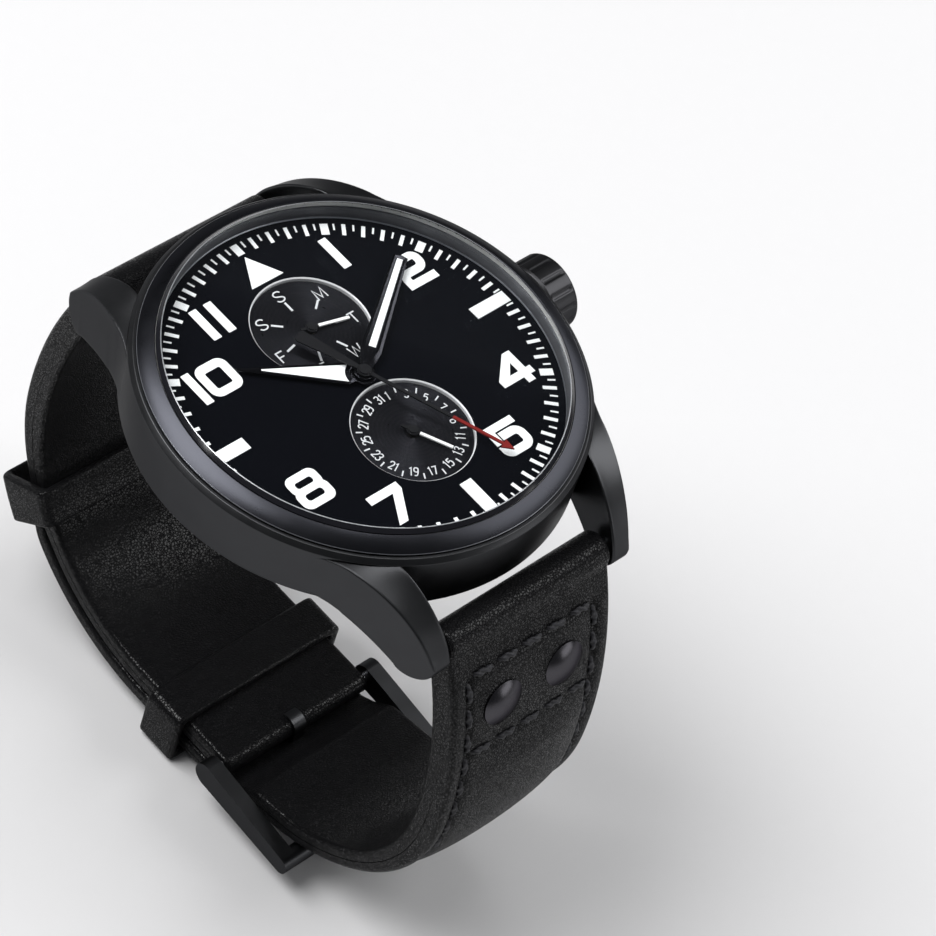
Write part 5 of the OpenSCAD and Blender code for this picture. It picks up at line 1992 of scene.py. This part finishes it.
@dataclass
class Works:
    """Solids that keep their shape: the movement, its seat, the gaskets and the back."""

    finishes: dict[Finish, tuple[str, ...]] = field(default_factory=lambda: {
        CASE_COAT: ("case_back",),
        STEEL_BRIGHT: ("case_back_screws", "bridge_screws", "battery", "stem", "crown_tube"),
        STEEL: ("stator", "setting_lever", "winding_pinion"),
        RUBBER: ("case_back_gasket", "crown_gasket"),
        NYLON: ("crystal_gasket",),
        HOLDER: ("movement_holder",),
        BRASS: ("main_plate", "train_bridge", "battery_clip"),
        BRASS_WHEEL: ("hour_wheel", "cannon_pinion", "seconds_wheel", "minute_wheel", "third_wheel",
                      "fifth_wheel", "day_wheel", "date_wheel", "calendar_wheel"),
        MAGNET: ("rotor",),
        COPPER: ("coil",),
        BOARD: ("circuit_board",),
    })

    def build(self) -> None:
        """Dress each solid."""
        for finish, nodes in self.finishes.items():
            for node in nodes:
                dress(node, finish)


# ---------------------------------------------------------------- studio


@dataclass
class Studio:
    """Pale paper, soft lamps and the camera at the photograph's angle.

    A lamp is its name, its centre, its width and height, its power in watts and its roll in degrees.
    """

    eye: Place = (-217.81, -149.06, 310.11)
    turn: Place = (2.39341584, -0.826323260, 0.590774227)
    lens: float = 159.85
    sensor: float = 36.0
    paper_half: float = 2500.0
    surround: Colour = (0.92, 0.95, 1.0)
    surround_strength: float = 0.11
    lamps: tuple[tuple[str, Place, Pair, float, float], ...] = (
        ("soft_key", (-230, 270, 500), (430, 430), 5.2, 0.0),
        ("soft_side", (400, -120, 280), (640, 260), 2.0, -45.0),
        ("soft_zenith", (90, 10, 600), (230, 230), 0.8, 0.0),
        ("soft_back", (270, 530, 50), (700, 150), 0.11, 0.0),
        ("soft_right", (240, -375, 70), (240, 130), 0.20, 0.0),
    )

    def camera(self) -> None:
        """Place the camera from its turn vector by the rotation formula.

        Formula: R = I + sin(a) K + (1 - cos(a)) K K, with K the cross-product matrix of the unit axis.
        """
        v = np.array(self.turn)
        a = float(np.linalg.norm(v))
        x, y, z = v / a
        k = np.array(((0, -z, y), (z, 0, -x), (-y, x, 0)))
        rot = np.eye(3) + math.sin(a) * k + (1 - math.cos(a)) * (k @ k)
        data = bpy.data.cameras.new("studio_camera")
        data.lens, data.sensor_width, data.clip_start = self.lens, self.sensor, 0.01
        eye = bpy.data.objects.new("studio_camera", data)
        basis = Matrix(np.stack((rot[0], -rot[1], -rot[2]), 1).tolist()).to_4x4()
        basis.translation = Vector(self.eye) * MM
        eye.matrix_world = basis
        bpy.context.scene.collection.objects.link(eye)
        bpy.context.scene.camera = eye

    def lamp(self, name: str, place: Place, size: Pair, power: float, roll: float) -> None:
        """A soft box that faces the origin.

        Args:
            name: the lamp's name.
            place: its centre in millimetres.
            size: width and height in millimetres.
            power: watts.
            roll: its turn about its own axis, in degrees.
        """
        data = bpy.data.lights.new(name, "AREA")
        data.shape, data.size, data.size_y = "RECTANGLE", size[0] * MM, size[1] * MM
        data.energy = power
        lamp = bpy.data.objects.new(name, data)
        facing = (-Vector(place)).to_track_quat("-Z", "Y").to_matrix()
        lamp.rotation_euler = (facing @ Matrix.Rotation(math.radians(roll), 3, "Z")).to_euler()
        lamp.location = Vector(place) * MM
        bpy.context.scene.collection.objects.link(lamp)

    def floor(self, height: float) -> None:
        """A large sheet of paper under the watch.

        Args:
            height: the paper's height in millimetres.
        """
        way = np.linspace(-self.paper_half, self.paper_half, 5)
        x, y = np.meshgrid(way, way, indexing="ij")
        points = np.stack((x, y, np.full_like(x, height)), -1).reshape(-1, 3) * MM
        quads = quads_of(np.arange(x.size).reshape(x.shape))
        mesh = bpy.data.meshes.new("paper_floor")
        mesh.from_pydata(points.tolist(), [], quads.tolist())
        mesh.materials.append(Backdrop("studio_paper").material())
        paper = bpy.data.objects.new("paper_floor", mesh)
        bpy.context.scene.collection.objects.link(paper)
        paper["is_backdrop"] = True

    def build(self, height: float) -> None:
        """Camera, paper, lamps and an even dim surround.

        Args:
            height: the paper's height in millimetres.
        """
        self.camera()
        self.floor(height)
        world = bpy.data.worlds.new("studio_world")
        bpy.context.scene.world = world
        world.use_nodes = True
        colour, strength = world.node_tree.nodes["Background"].inputs[:2]
        colour.default_value = (*self.surround, 1.0)
        strength.default_value = self.surround_strength
        bpy.context.scene.view_settings.view_transform = "Standard"
        for lamp in self.lamps:
            self.lamp(*lamp)
        log.info("studio ready")


def main() -> None:
    """Build every sub-assembly in order."""
    logging.basicConfig(level=logging.INFO, format="%(name)s %(message)s")
    CaseMiddle().build()
    TopRings().build()
    Crown().build()
    Dial().build()
    Hands().build()
    Strap().build()
    Works().build()
    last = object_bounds()
    Studio().build(last[0][2] / MM - FLOOR_GAP)


if __name__ == "__main__":
    main()
